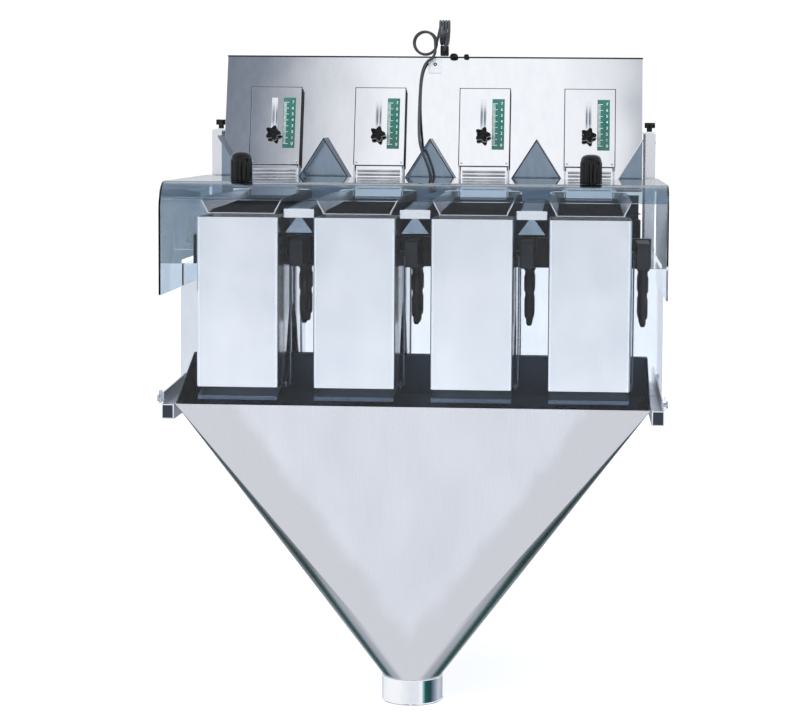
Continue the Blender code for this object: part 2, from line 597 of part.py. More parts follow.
def make_hopper(steel):
    """The storage hopper with its inner ridges, four gate housings and two clamping lugs."""
    out = -HOUSING_DEPTH
    half = HOPPER_HALF_WIDTH
    outer = [(wall_y(z, out), z) for z in (HOPPER_BOTTOM, HOPPER_TOP)]
    outer += [(hopper_rear_y(z), z) for z in (HOPPER_TOP, HOPPER_BOTTOM)]
    low, high = HOPPER_BOTTOM - 3 * SHEET, HOPPER_TOP + 3 * SHEET
    inner = [(wall_y(z, out - SHEET), z) for z in (low, high)]
    inner += [(hopper_rear_y(z) - LEANING_SHEET, z) for z in (high, low)]
    body = prism_x(outer, -half, half)
    room = prism_x(inner, -half + SHEET, half - SHEET)
    shell = make("hopper_shell", steel, [body], [room])
    shapes = [bmesh.new()]
    shapes[0].from_mesh(shell.data)
    bpy.data.objects.remove(shell)

    def front(z):
        return wall_y(z, out - SHEET / 2)

    def rear(z):
        return hopper_rear_y(z) - LEANING_SHEET / 2

    for index in range(HEAD_COUNT - 1):
        x = (head_x(index) + head_x(index + 1)) / 2
        shapes.append(between_planes(roof_points(x, RIDGE_HALF_WIDTH, SHEET), front, rear))
    for side in (-1, 1):
        wall = side * (half - SHEET / 2)
        foot = side * (half - RIDGE_HALF_WIDTH)
        ramp = [(wall, RIDGE_PEAK), (foot, RIDGE_BASE), (foot + side * LEANING_SHEET, RIDGE_BASE),
                (wall, RIDGE_PEAK - 2 * SHEET)]
        shapes.append(between_planes(ramp, front, rear))
        lug_x = side * (COLUMN_OUTER_X - SHEET)
        shapes.append(block((min(wall, lug_x), LUG_Y - LUG_LENGTH / 2, COLUMN_TOP + GAP),
                            (max(wall, lug_x), LUG_Y + LUG_LENGTH / 2, COLUMN_TOP + GAP + LUG_PLATE)))
    cuts = []
    for index in range(HEAD_COUNT):
        x = head_x(index)
        edge = HOUSING_WIDTH / 2
        deep = -HOUSING_DEPTH - SHEET / 2
        shapes.append(slope_block((x - edge, HOUSING_BOTTOM, -SHEET), (x + edge, HOUSING_TOP, 0)))
        shapes.append(slope_block((x - edge, HOUSING_TOP - SHEET, deep), (x + edge, HOUSING_TOP, -SHEET / 2)))
        for side in (-1, 1):
            inner_x, outer_x = x + side * (edge - SHEET), x + side * edge
            shapes.append(slope_block((min(inner_x, outer_x), FLANGE_BOTTOM, deep),
                                      (max(inner_x, outer_x), HOUSING_TOP - SHEET / 2, -SHEET / 2)))
        slot_x = x + KNOB_X
        cuts.append(slope_block((slot_x - SLOT_WIDTH / 2, KNOB_UP - SLOT_WIDTH / 2, -2 * SHEET),
                                (slot_x + SLOT_WIDTH / 2, KNOB_UP + GATE_TRAVEL + SLOT_WIDTH / 2, SHEET)))
        reach = OUTLET_WIDTH / 2
        cuts.append(slope_block((x - reach, FLANGE_BOTTOM - SHEET, -HOUSING_DEPTH - 2 * SHEET),
                                (x + reach, OUTLET_TOP, -HOUSING_DEPTH + 2 * SHEET)))
    make("hopper", steel, shapes, cuts)


def make_gate(name, x, steel):
    """The sliding gate plate with the stud that comes out through the housing's slot."""
    edge = HOUSING_WIDTH / 2 - SHEET - GATE_SIDE_CLEAR
    plate = slope_block((x - edge, GATE_BOTTOM, -GATE_SETBACK - SHEET), (x + edge, GATE_TOP, -GATE_SETBACK))
    stud_x = x + KNOB_X
    stud = cylinder(slope_point(stud_x, KNOB_UP, -GATE_SETBACK - SHEET / 2),
                    slope_point(stud_x, KNOB_UP, SHEET / 4), STUD_RADIUS, 12)
    make(name, steel, [plate, stud], origin=slope_point(stud_x, KNOB_UP, 0))


def make_gate_knob(name, x, black):
    """A five-lobed clamping knob on the gate's stud."""
    outline = lobed_outline(GATE_KNOB_RADIUS, GATE_KNOB_WAVE, KNOB_LOBES, 7)
    knob = prism_z(outline, GATE_KNOB_NECK, GATE_KNOB_HEIGHT)
    base = SHEET / 4 + GAP
    collar = cylinder((0, 0, base), (0, 0, GATE_KNOB_HEIGHT / 2), GATE_KNOB_BOSS, 16)
    matrix = gate_matrix() @ Matrix.Translation((x + KNOB_X, KNOB_UP, 0))
    for shape in (knob, collar):
        bmesh.ops.transform(shape, matrix=matrix, verts=shape.verts)
    make(name, black, [knob, collar], origin=slope_point(x + KNOB_X, KNOB_UP, 0))


def make_divider(name, x, steel):
    """The sheet between two pans: a ridge at the gates, an upright plate and a long hat strip."""
    def rear(z):
        return wall_y(z, -HOUSING_DEPTH) - GAP

    roof = between_planes(roof_points(x, RIDGE_HALF_WIDTH, SHEET), lambda z: RIDGE_FRONT_Y, rear)
    neck = HEAD_PITCH / 2 - PAN_TOP_WIDTH / 2 - STRIP_PAN_CLEAR
    shoulder = pan_z(DIVIDER_PLATE_Y) + PAN_WALL_HEIGHT + STRIP_PAN_CLEAR
    foot = pan_z(DIVIDER_PLATE_Y) - SHEET
    inset = RIDGE_HALF_WIDTH - SHEET
    outline = [(x - inset, RIDGE_BASE + SHEET / 4), (x - neck, shoulder), (x - neck, foot), (x + neck, foot),
               (x + neck, shoulder), (x + inset, RIDGE_BASE + SHEET / 4), (x, RIDGE_PEAK - SHEET)]
    plate = prism_y(outline, DIVIDER_PLATE_Y, DIVIDER_PLATE_Y + SHEET)
    top, skirt = STRIP_HALF_WIDTH, STRIP_HALF_WIDTH + STRIP_SKIRT
    hat = [(-top, STRIP_RAISE), (top, STRIP_RAISE), (skirt, STRIP_RAISE - STRIP_DROP),
           (skirt - SHEET, STRIP_RAISE - STRIP_DROP), (top - SHEET, STRIP_RAISE - SHEET),
           (-top + SHEET, STRIP_RAISE - SHEET), (-skirt + SHEET, STRIP_RAISE - STRIP_DROP),
           (-skirt, STRIP_RAISE - STRIP_DROP)]
    strip = prism_y([(x + across, up) for across, up in hat], PAN_FRONT_Y, DIVIDER_PLATE_Y + SHEET / 2)
    for vertex in strip.verts:
        vertex.co.z += pan_z(vertex.co.y)
    end_top = PAN_FLOOR_FRONT + STRIP_RAISE - SHEET / 2
    end = block((x - skirt, PAN_FRONT_Y, end_top - STRIP_END_DROP), (x + skirt, PAN_FRONT_Y + SHEET, end_top))
    make(name, steel, [roof, plate, strip, end])


# ---- side columns ----------------------------------------------------------------------------
def make_columns(steel, black):
    """Folded columns from the chassis to the hopper's lugs, each with a clamping knob on top."""
    for side in (-1, 1):
        inner, outer = COLUMN_INNER_X, COLUMN_OUTER_X
        channel = [(inner, COLUMN_FRONT_Y), (outer, COLUMN_FRONT_Y), (outer, COLUMN_REAR_Y),
                   (inner, COLUMN_REAR_Y), (inner, COLUMN_REAR_Y - SHEET),
                   (outer - SHEET, COLUMN_REAR_Y - SHEET),
                   (outer - SHEET, COLUMN_FRONT_Y + SHEET), (inner, COLUMN_FRONT_Y + SHEET)]
        wall = prism_z([(side * x, y) for x, y in channel], CHASSIS_TOP + GAP, COLUMN_TOP)
        low_x, high_x = sorted((side * (inner + SHEET / 2), side * (outer - SHEET / 2)))
        shapes = [wall]
        for low_z in (CHASSIS_TOP + GAP + SHEET / 2, COLUMN_TOP - SHEET * 1.5):
            shapes.append(block((low_x, COLUMN_FRONT_Y + SHEET / 2, low_z),
                                (high_x, COLUMN_REAR_Y - SHEET / 2, low_z + SHEET)))
        make(f"{side_name(side)}_column", steel, shapes)
        base = COLUMN_TOP + GAP + LUG_PLATE + GAP
        outline = lobed_outline(COLUMN_KNOB_RADIUS, COLUMN_KNOB_WAVE, KNOB_LOBES, 5)
        knob = prism_z(outline, base + COLUMN_KNOB_NECK, base + COLUMN_KNOB_HEIGHT)
        stem = cylinder((0, 0, base), (0, 0, base + COLUMN_KNOB_HEIGHT / 2), COLUMN_STEM_RADIUS, 12)
        place = Vector((side * COLUMN_KNOB_X, LUG_Y, 0))
        for shape in (knob, stem):
            bmesh.ops.translate(shape, vec=place, verts=shape.verts)
        make(f"{side_name(side)}_column_knob", black, [knob, stem], origin=(place.x, place.y, base))


# ---- guard cover -----------------------------------------------------------------------------
def bend_points(inset):
    """The (y, z) points of the guard's bend, from the front face up to the top face."""
    radius = COVER_BEND - inset
    centre = (COVER_FRONT_Y + COVER_BEND, COVER_TOP - COVER_BEND)
    points = []
    for step in range(COVER_BEND_STEPS + 1):
        angle = math.pi - step / COVER_BEND_STEPS * math.pi / 2
        points.append((centre[0] + radius * math.cos(angle), centre[1] + radius * math.sin(angle)))
    return points


def make_cover(tinted, black):
    """The tinted guard: bent front and top, two cheeks, pivot tabs, and two fluted knobs."""
    half = COVER_HALF_WIDTH
    low = COVER_FRONT_Y + COVER_SHEET
    sheet = [(COVER_FRONT_Y, COVER_BOTTOM), *bend_points(0), (COVER_REAR_Y, COVER_TOP),
             (COVER_REAR_Y, COVER_TOP - COVER_SHEET), *reversed(bend_points(COVER_SHEET)), (low, COVER_BOTTOM)]
    shapes = [prism_x(sheet, -half, half)]
    step_y = CHASSIS_FRONT_Y - COVER_SHEET * 3
    cheek = [(COVER_FRONT_Y, CHEEK_BOTTOM), *bend_points(0), (EAR_REAR_Y, COVER_TOP), (EAR_REAR_Y, CHEEK_STEP),
             (step_y, CHEEK_STEP), (step_y, CHEEK_BOTTOM)]
    cuts = []
    for side in (-1, 1):
        low_x, high_x = sorted((side * half, side * (half - COVER_SHEET)))
        shapes.append(prism_x(cheek, low_x, high_x))
        ear_x, edge_x = sorted((side * EAR_INNER_X, side * half))
        shapes.append(block((ear_x, COVER_REAR_Y - COVER_SHEET, COVER_TOP - COVER_SHEET),
                            (edge_x, EAR_REAR_Y, COVER_TOP)))
        shapes.append(block((low_x, COVER_FRONT_Y, COVER_BOTTOM),
                            (high_x, COVER_FRONT_Y + TAB_SIZE, COVER_BOTTOM + TAB_SIZE)))
        bracket = RAIL_OUTER_X - BRACKET_INSET
        notch = (side * (bracket + NOTCH_CLEAR), side * (bracket - BRACKET_PLATE - NOTCH_CLEAR))
        cuts.append(block((min(notch), COVER_FRONT_Y - COVER_SHEET, COVER_BOTTOM - COVER_SHEET),
                          (max(notch), COVER_FRONT_Y + 2 * COVER_SHEET, COVER_BOTTOM + NOTCH_HEIGHT)))
        cuts.append(cylinder((low_x - COVER_SHEET, COVER_PIVOT_Y, COVER_PIVOT_Z),
                             (high_x + COVER_SHEET, COVER_PIVOT_Y, COVER_PIVOT_Z), PIVOT_RADIUS + PIVOT_CLEAR))
    make("guard_cover", tinted, shapes, cuts, origin=(0, COVER_PIVOT_Y, COVER_PIVOT_Z))
    base = COVER_TOP + GAP
    for side in (-1, 1):
        x = side * head_x(HEAD_COUNT - 1)
        shoulder = base + COVER_KNOB_SHOULDER
        outline = lobed_outline(COVER_KNOB_RADIUS, COVER_KNOB_WAVE, COVER_KNOB_FLUTES, 4)
        grip = prism_z(outline, base, base + COVER_KNOB_HEIGHT)
        for vertex in grip.verts:
            if vertex.co.z > shoulder:
                vertex.co.x *= COVER_KNOB_TAPER
                vertex.co.y *= COVER_KNOB_TAPER
        bmesh.ops.translate(grip, vec=(x, COVER_KNOB_Y, 0), verts=grip.verts)
        make(f"{side_name(side)}_cover_knob", black, [grip], origin=(x, COVER_KNOB_Y, base))


# ---- chute and outlet ------------------------------------------------------------------------
def chute_rings(inset):
    """Matching rings of a rectangle at the top and a circle at the outlet, corner by corner."""
    half = CHUTE_HALF_WIDTH - inset
    front, rear = CHUTE_FRONT_Y + inset, CHUTE_REAR_Y - inset
    corners = [(half, rear), (-half, rear), (-half, front), (half, front)]
    radius = OUTLET_RADIUS - inset
    arcs = []
    for quarter in range(4):
        arc = []
        for step in range(CORNER_STEPS + 1):
            angle = (quarter + step / CORNER_STEPS) * math.pi / 2
            arc.append((radius * math.cos(angle), OUTLET_Y + radius * math.sin(angle)))
        arcs.append(arc)
    return corners, arcs


def chute_surface(shape, inset, spare):
    """Add one skin of the chute: a cone at each corner and a flat triangle on each side."""
    corners, arcs = chute_rings(inset)
    top_z, low_z = CHUTE_TOP + spare, OUTLET_Z - spare
    tops = [shape.verts.new((x, y, top_z)) for x, y in corners]
    round_verts = []
    for arc in arcs:
        round_verts.append([shape.verts.new((x, y, low_z)) for x, y in arc[:-1]])
    for quarter in range(4):
        following = (quarter + 1) % 4
        arc = [*round_verts[quarter], round_verts[following][0]]
        for first, second in zip(arc, arc[1:]):
            shape.faces.new((tops[quarter], first, second))
        shape.faces.new((tops[quarter], arc[-1], tops[following]))
    return tops, [vertex for quarter in round_verts for vertex in quarter]


def chute_solid(inset, spare):
    """The chute as one filled solid, used as its body or as the cutter that hollows it."""
    shape = bmesh.new()
    tops, ring = chute_surface(shape, inset, spare)
    shape.faces.new(tops)
    shape.faces.new(ring)
    bmesh.ops.recalc_face_normals(shape, faces=shape.faces)
    return shape


def make_chute(steel):
    """The discharge chute from the buckets to the round outlet, with a raised back and side gussets."""
    body = chute_solid(0, 0)
    room = chute_solid(SHEET, SHEET / 2)
    half = CHUTE_HALF_WIDTH
    back = block((-half, CHUTE_REAR_Y - SHEET, CHUTE_TOP - SHEET), (half, CHUTE_REAR_Y, CHUTE_BACK_TOP))
    shapes = [body, back]
    for side in (-1, 1):
        low_x, high_x = sorted((side * half, side * (half - SHEET)))
        foot_z, rear_y = CHUTE_TOP - SHEET / 2, CHUTE_REAR_Y - SHEET / 2
        gusset = [(CHUTE_FRONT_Y + SHEET, foot_z), (rear_y, foot_z), (rear_y, CHUTE_BACK_TOP)]
        shapes.append(prism_x(gusset, low_x, high_x))
    make("discharge_chute", steel, shapes, [room])


def make_collar(polished):
    """The round outlet collar under the chute, with a rolled bead at its lower edge."""
    top = OUTLET_Z - GAP
    low = top - COLLAR_HEIGHT
    centre = (0, OUTLET_Y)
    outer = cylinder((*centre, low), (*centre, top), COLLAR_RADIUS, 40)
    bead = cylinder((*centre, low), (*centre, low + COLLAR_BEAD), COLLAR_RADIUS + COLLAR_ROLL, 40)
    bore_radius = COLLAR_RADIUS - COLLAR_WALL
    bore = cylinder((*centre, low - COLLAR_WALL), (*centre, top + COLLAR_WALL), bore_radius, 40)
    make("outlet_collar", polished, [outer, bead], [bore])


# ---- control cord ----------------------------------------------------------------------------
def smooth_route(points, spacing):
    """Points a fixed step apart on a smooth curve through the route's own points."""
    route = [Vector(point) for point in points]
    ends = [route[0] * 2 - route[1], *route, route[-1] * 2 - route[-2]]
    fine = []
    for p0, p1, p2, p3 in zip(ends, ends[1:], ends[2:], ends[3:]):
        for step in range(12):
            t = step / 12
            fine.append(0.5 * (2 * p1 + (p2 - p0) * t + (2 * p0 - 5 * p1 + 4 * p2 - p3) * t ** 2
                               + (3 * p1 - p0 - 3 * p2 + p3) * t ** 3))
    fine.append(route[-1])
    kept = [fine[0]]
    for point in fine[1:-1]:
        if (point - kept[-1]).length >= spacing:
            kept.append(point)
    if (fine[-1] - kept[-1]).length < spacing / 2:
        kept.pop()
    kept.append(fine[-1])
    return kept


def wound_ring(turns, axis, centre):
    """A closed ring round an axis, as wide as its turns of cord laid side by side."""
    ring = bmesh.new()
    side = turns * CORD_RADIUS
    across = Vector((0, 0, 1))
    outline = []
    for step in range(RING_SIDES):
        angle = 2 * math.pi * step / RING_SIDES
        reach = across * (COIL_RADIUS + CORD_RADIUS * math.cos(angle))
        outline.append(ring.verts.new(reach + axis * (side * math.sin(angle))))
    edges = [ring.edges.new(pair) for pair in zip(outline, outline[1:] + outline[:1])]
    bmesh.ops.spin(ring, geom=edges, axis=axis, cent=(0, 0, 0), angle=2 * math.pi, steps=28, use_merge=True)
    bmesh.ops.recalc_face_normals(ring, faces=ring.faces)
    bmesh.ops.translate(ring, vec=centre, verts=ring.verts)
    return ring


def make_cord(grey, black):
    """The loose control cord, its two-turn coil, the bundle of turns beside it, the plug and the gland."""
    points = smooth_route(CORD_ROUTE, CORD_SPACING)
    curve = bpy.data.curves.new("cord_tube", "CURVE")
    curve.dimensions = "3D"
    curve.bevel_depth = CORD_RADIUS
    curve.bevel_resolution = 2
    curve.render_resolution_u = 0
    curve.use_fill_caps = True
    spline = curve.splines.new("POLY")
    spline.points.add(len(points) - 1)
    for target, point in zip(spline.points, points):
        target.co = (*point, 1.0)
    curve.materials.append(grey)
    tube = bpy.data.objects.new("cord_tube", curve)
    bpy.context.scene.collection.objects.link(tube)

    centre = Vector(COIL_CENTRE)
    make("cord_coil", grey, [wound_ring(COIL_TURNS, Vector((0, 1, 0)), centre)])
    rim = centre.z - COIL_RADIUS - CORD_RADIUS
    plug_top = rim + GAP + CORD_PLUG_HEIGHT
    plug = block((BUNDLE_X - CORD_PLUG_WIDTH / 2, centre.y - CORD_PLUG_DEPTH / 2, rim + GAP),
                 (BUNDLE_X + CORD_PLUG_WIDTH / 2, centre.y + CORD_PLUG_DEPTH / 2, plug_top))
    make("cord_plug", black, [plug])
    bundle_z = plug_top + GAP + CORD_RADIUS + COIL_RADIUS
    bundle_centre = Vector((BUNDLE_X, centre.y, bundle_z))
    make("cord_bundle", grey, [wound_ring(BUNDLE_TURNS, Vector((1, 0, 0)), bundle_centre)])
    exit_x, _, exit_z = CORD_ROUTE[0]
    end_y = DIVIDER_PLATE_Y - GAP
    make("cord_gland", black, [cylinder((exit_x, end_y, exit_z), (exit_x, end_y - GLAND_LENGTH, exit_z),
                                        GLAND_RADIUS, 12, GLAND_TIP_RADIUS)])


def main():
    """Clear the scene and build every piece."""
    for item in list(bpy.data.objects):
        bpy.data.objects.remove(item)
    satin = finish("satin_stainless", (0.62, 0.63, 0.65), 0.35, 1.0)
    mirror = finish("polished_stainless", (0.75, 0.76, 0.78), 0.08, 1.0)
    black = finish("black_plastic", (0.015, 0.015, 0.017), 0.45, 0.0)
    grey = finish("grey_cord", (0.10, 0.11, 0.12), 0.6, 0.0)
    cast = finish("painted_casting", (0.12, 0.13, 0.14), 0.5, 0.3)
    tinted = finish("tinted_polycarbonate", (0.32, 0.38, 0.45), 0.1, 0.0)
    make_rails(satin, black)
    make_cross_members(satin)
    make_chassis(mirror, satin)
    for index in range(HEAD_COUNT):
        x = head_x(index)
        number = index + 1
        make_bucket(f"weigh_bucket_{number}", x, satin)
        make_flap(f"dump_flap_{number}", x, satin)
        make_drive_arm(f"drive_arm_{number}", x, cast)
        make_link_rod(f"link_rod_{number}", x, satin)
        make_pan(f"feeder_pan_{number}", x, satin)
        make_vibrator(f"vibrator_{number}", x, cast)
        make_gate(f"gate_{number}", x, mirror)
        make_gate_knob(f"gate_knob_{number}", x, black)
    for index in range(HEAD_COUNT - 1):
        make_divider(f"pan_divider_{index + 1}", (head_x(index) + head_x(index + 1)) / 2, satin)
    make_drive_beam(satin)
    make_hopper(mirror)
    make_columns(satin, black)
    make_cover(tinted, black)
    make_chute(satin)
    make_collar(mirror)
    make_cord(grey, black)


main()
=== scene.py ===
# %% [markdown]
# # Four-head linear weigher
#
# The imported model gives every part's place and motion. This lesson adds what the eye needs: rounded edges,
# knobs, scales, screws, the control cord and a finish for each metal and plastic.

# %% Load the frame
import json
import math

import bmesh
import bpy
from mathutils import Matrix, Vector

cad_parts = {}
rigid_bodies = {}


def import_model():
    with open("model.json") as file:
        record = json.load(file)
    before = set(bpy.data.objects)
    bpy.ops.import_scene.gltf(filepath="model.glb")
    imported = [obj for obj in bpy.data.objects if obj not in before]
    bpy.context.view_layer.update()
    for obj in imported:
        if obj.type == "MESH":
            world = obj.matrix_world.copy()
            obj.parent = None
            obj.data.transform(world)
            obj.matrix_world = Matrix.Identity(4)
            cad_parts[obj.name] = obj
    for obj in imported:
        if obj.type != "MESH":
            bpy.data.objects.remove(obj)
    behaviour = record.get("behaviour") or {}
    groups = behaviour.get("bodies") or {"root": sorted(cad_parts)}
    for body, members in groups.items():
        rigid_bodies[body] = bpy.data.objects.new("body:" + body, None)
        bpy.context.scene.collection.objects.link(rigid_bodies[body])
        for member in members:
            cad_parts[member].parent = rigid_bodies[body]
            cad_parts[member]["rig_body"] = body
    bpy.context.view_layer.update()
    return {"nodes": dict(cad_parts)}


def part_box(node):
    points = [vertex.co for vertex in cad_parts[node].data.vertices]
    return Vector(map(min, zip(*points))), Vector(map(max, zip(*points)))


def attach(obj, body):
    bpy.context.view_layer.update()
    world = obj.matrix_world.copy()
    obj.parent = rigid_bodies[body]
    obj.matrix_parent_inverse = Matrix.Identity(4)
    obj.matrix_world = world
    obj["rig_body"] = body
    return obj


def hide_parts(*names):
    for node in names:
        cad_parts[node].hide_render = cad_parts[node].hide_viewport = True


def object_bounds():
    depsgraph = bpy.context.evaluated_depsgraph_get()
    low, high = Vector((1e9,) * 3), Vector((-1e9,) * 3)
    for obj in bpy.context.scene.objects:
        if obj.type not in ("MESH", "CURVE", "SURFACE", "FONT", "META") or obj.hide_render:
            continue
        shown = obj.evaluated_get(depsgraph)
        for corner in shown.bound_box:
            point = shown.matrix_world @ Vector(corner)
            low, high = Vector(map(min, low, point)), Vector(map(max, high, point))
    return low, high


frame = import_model()
MM = 0.001
HEADS = 4

# %% [markdown]
# ## The camera
#
# A long lens a little right of the middle and level with the hopper's outlets. A small shift keeps the
# machine's upright edges upright, as a view camera does.

# %% Camera
camera_data = bpy.data.cameras.new("camera")
camera = bpy.data.objects.new("camera", camera_data)
bpy.context.scene.collection.objects.link(camera)
bpy.context.scene.camera = camera
camera_data.lens = 96.6
camera_data.sensor_width = 36.0
camera_data.shift_x = -0.075
camera_data.shift_y = -0.0869
STAND = (0.3115, -4.6078, 0.5858)
YAW, PITCH, ROLL = math.radians(3.01), math.radians(-4.46), math.radians(0.45)
yawed = Matrix.Rotation(YAW, 4, "Z")
pitched = Matrix.Rotation(math.pi / 2 + PITCH, 4, "X")
aim = yawed @ pitched @ Matrix.Rotation(ROLL, 4, "Z")
camera.matrix_world = Matrix.Translation(STAND) @ aim
print("camera at", [round(value, 3) for value in camera.location])

# %% [markdown]
# ## Small helpers for materials
#
# Colours are written as they look on a screen and turned linear once. One function adds a shader node with
# its settings and links, so each finish below reads as a short list of what happens to the surface.

# %% Material helpers
def linear(hex_colour):
    """Turn an sRGB hex colour into linear values with full alpha."""
    values = [int(hex_colour[i:i + 2], 16) / 255 for i in (1, 3, 5)]
    return [v / 12.92 if v <= 0.04045 else ((v + 0.055) / 1.055) ** 2.4 for v in values] + [1.0]


def add_node(tree, kind, settings=None, **links):
    """Add a node from settings and links; the keys in0, in1 and so on count its inputs."""
    node = tree.nodes.new("ShaderNode" + kind)
    counted = {f"in{number}": socket for number, socket in enumerate(node.inputs)}
    for key, value in (settings or {}).items():
        if key in counted:
            counted[key].default_value = value
        elif key in node.inputs:
            node.inputs[key].default_value = value
        else:
            setattr(node, key, value)
    for key, source in links.items():
        tree.links.new(source, counted[key] if key in counted else node.inputs[key])
    return node


def new_finish(name, colour, metallic, roughness, **extra):
    """A Principled material with uniform values on its own sockets; returns it with its tree and shader."""
    finish = bpy.data.materials.new(name)
    finish.use_nodes = True
    shader = finish.node_tree.nodes["Principled BSDF"]
    shader.inputs["Base Color"].default_value = linear(colour)
    shader.inputs["Metallic"].default_value = metallic
    shader.inputs["Roughness"].default_value = roughness
    for key, value in extra.items():
        shader.inputs[key.replace("_", " ")].default_value = value
    return finish, finish.node_tree, shader


def mapped(tree, scale, turn=(0, 0, 0)):
    """Object coordinates in metres, stretched by scale, which is how many pattern cells fit in a metre."""
    place = add_node(tree, "TexCoord")
    node = add_node(tree, "Mapping", {"Scale": scale, "Rotation": turn}, Vector=place.outputs["Object"])
    return node.outputs["Vector"]


def textured(tree, tone, low, high, gloss, roughness, relief=None, strength=0.0, depth=0.0):
    """Let one value choose the colour, another the roughness and a third the relief."""
    shader = tree.nodes["Principled BSDF"]
    ramp = add_node(tree, "ValToRGB", Fac=tone)
    for element, colour in zip(ramp.color_ramp.elements, (low, high)):
        element.color = linear(colour)
    tree.links.new(ramp.outputs["Color"], shader.inputs["Base Color"])
    rough = add_node(tree, "MapRange", {"To Min": roughness[0], "To Max": roughness[1]}, Value=gloss)
    tree.links.new(rough.outputs["Result"], shader.inputs["Roughness"])
    if relief is not None:
        bump = add_node(tree, "Bump", {"Strength": strength, "Distance": depth}, Height=relief)
        tree.links.new(bump.outputs["Normal"], shader.inputs["Normal"])

# %% [markdown]
# ## Brushed stainless steel
#
# Most of the machine is 304 sheet with a satin finish: an abrasive belt leaves fine upright lines a few
# tenths of a millimetre apart. They are drawn about 1.5 mm apart, so that they show. The lines stretch the
# highlights along the belt's path, and a slow cloudiness breaks up the large flat panels. Rails and cross
# members are ground along their length. The doors and the bay behind the pans take a darker, duller copy of
# the same sheet, which is painted shade, and the inside of the chute is painted darker still, as shade.

# %% Brushed finish
FINE_CELLS, LONG_CELLS = 650.0, 9.0
CLOUD_CELLS = (9, 9, 5)


def brushed(name, low, high, roughness, grain=(FINE_CELLS, FINE_CELLS, LONG_CELLS), relief=0.03):
    """Satin stainless whose lines run along the axis with the smallest grain number."""
    finish, tree, _ = new_finish(name, high, 1.0, roughness[0])
    lines = add_node(tree, "TexNoise", {"Scale": 1.0, "Detail": 3.0, "Roughness": 0.6},
                     Vector=mapped(tree, grain))
    clouds = add_node(tree, "TexNoise", {"Scale": 1.0, "Detail": 2.0}, Vector=mapped(tree, CLOUD_CELLS))
    both = add_node(tree, "Math", {"operation": "MULTIPLY_ADD", "in1": 0.45},
                    in0=lines.outputs["Fac"], in2=clouds.outputs["Fac"])
    level = add_node(tree, "MapRange", {"To Min": -0.25, "To Max": 1.1}, Value=both.outputs[0])
    textured(tree, level.outputs["Result"], low, high, lines.outputs["Fac"], roughness,
             lines.outputs["Fac"], relief, 0.3 * MM)
    return finish


satin = brushed("satin_stainless_sheet", "#d5d6da", "#e8e8ea", (0.20, 0.28), relief=0.012)
cross_brushed = brushed("satin_stainless_cross_grain", "#b2b6be", "#d6dae2", (0.28, 0.42),
                        (LONG_CELLS, FINE_CELLS, FINE_CELLS))
# Painted shade: the next two are darker copies of the satin sheet, for the doors and the bay behind the pans
# and for the inside of the chute.
bay_painted_shade = brushed("satin_stainless_in_shade", "#3f4a5b", "#5a6778", (0.25, 0.38))
chute_inside_painted_shade = brushed("chute_inner_face_painted_shade", "#1d2532", "#303a4a", (0.30, 0.45), (9.0, 9.0, 400.0))
print("brushed finishes", [item.name for item in (satin, cross_brushed, bay_painted_shade, chute_inside_painted_shade)])

# %% [markdown]
# ## The chute's edge bands
#
# A plainer, slightly warmer band runs beside each slanting edge of the chute's front, with a border that
# wanders. The front narrows downwards at a steady rate, so a map from height to half width gives the edge,
# and the distance from it draws the band.

# %% Chute finish
FOOT_Z, TOP_Z = -0.516, 0.030
FOOT_HALF, TOP_HALF = 0.058, 0.466
BAND_NEAR, BAND_FAR = 0.125, 0.165
WANDER = 0.05
chute_steel = brushed("chute_satin_stainless", "#dcdee5", "#eceef3", (0.24, 0.32), relief=0.010)
tree = chute_steel.node_tree
place = add_node(tree, "TexCoord").outputs["Object"]
axes = add_node(tree, "SeparateXYZ", Vector=place)
across = add_node(tree, "Math", {"operation": "ABSOLUTE"}, in0=axes.outputs["X"])
edge = add_node(tree, "MapRange", Value=axes.outputs["Z"], settings={
    "From Min": FOOT_Z, "From Max": TOP_Z, "To Min": FOOT_HALF, "To Max": TOP_HALF})
inset = add_node(tree, "Math", {"operation": "SUBTRACT"}, in0=edge.outputs["Result"], in1=across.outputs[0])
ragged = add_node(tree, "TexNoise", {"Scale": 1.0, "Detail": 2.0}, Vector=mapped(tree, (14, 14, 14)))
wander = add_node(tree, "Math", {"operation": "MULTIPLY_ADD", "in1": WANDER},
                  in0=ragged.outputs["Fac"], in2=inset.outputs[0])
band = add_node(tree, "MapRange", Value=wander.outputs[0], settings={
    "interpolation_type": "SMOOTHSTEP", "From Min": BAND_NEAR, "From Max": BAND_FAR})
shader = tree.nodes["Principled BSDF"]
sheet_colour = shader.inputs["Base Color"].links[0].from_socket
blend = add_node(tree, "Mix", {"data_type": "RGBA", "in6": linear("#dddde0")},
                 Factor=band.outputs["Result"], in7=sheet_colour)
tree.links.new(blend.outputs[2], shader.inputs["Base Color"])
print("chute finish", chute_steel.name, "with", len(tree.nodes), "nodes")

# %% [markdown]
# ## Mirror-polished stainless
#
# The hopper, gates, chassis and outlet are buffed bright. A buffed sheet is never flat: it carries long
# shallow waves that bend reflections, and a faint haze of wiping marks. The small ridge plates are buffed
# less, and their greyer colour is painted shade; the turned washers and screws keep a fine lathe sheen.

# %% Mirror finish
WIPING_CELLS = (60, 60, 25)


def polished(name, dull, colour, haze, wave, wave_mm):
    """Buffed stainless with long shallow waves, each wave_mm long, and a little haze."""
    finish, tree, _ = new_finish(name, colour, 1.0, haze[0])
    cells = 1000 / wave_mm
    waves = add_node(tree, "TexNoise", {"Scale": 1.0, "Detail": 1.0}, Vector=mapped(tree, (cells,) * 3))
    marks = add_node(tree, "TexNoise", {"Scale": 1.0, "Detail": 4.0}, Vector=mapped(tree, WIPING_CELLS))
    textured(tree, marks.outputs["Fac"], dull, colour, marks.outputs["Fac"], haze,
             waves.outputs["Fac"], wave, 4 * MM)
    return finish


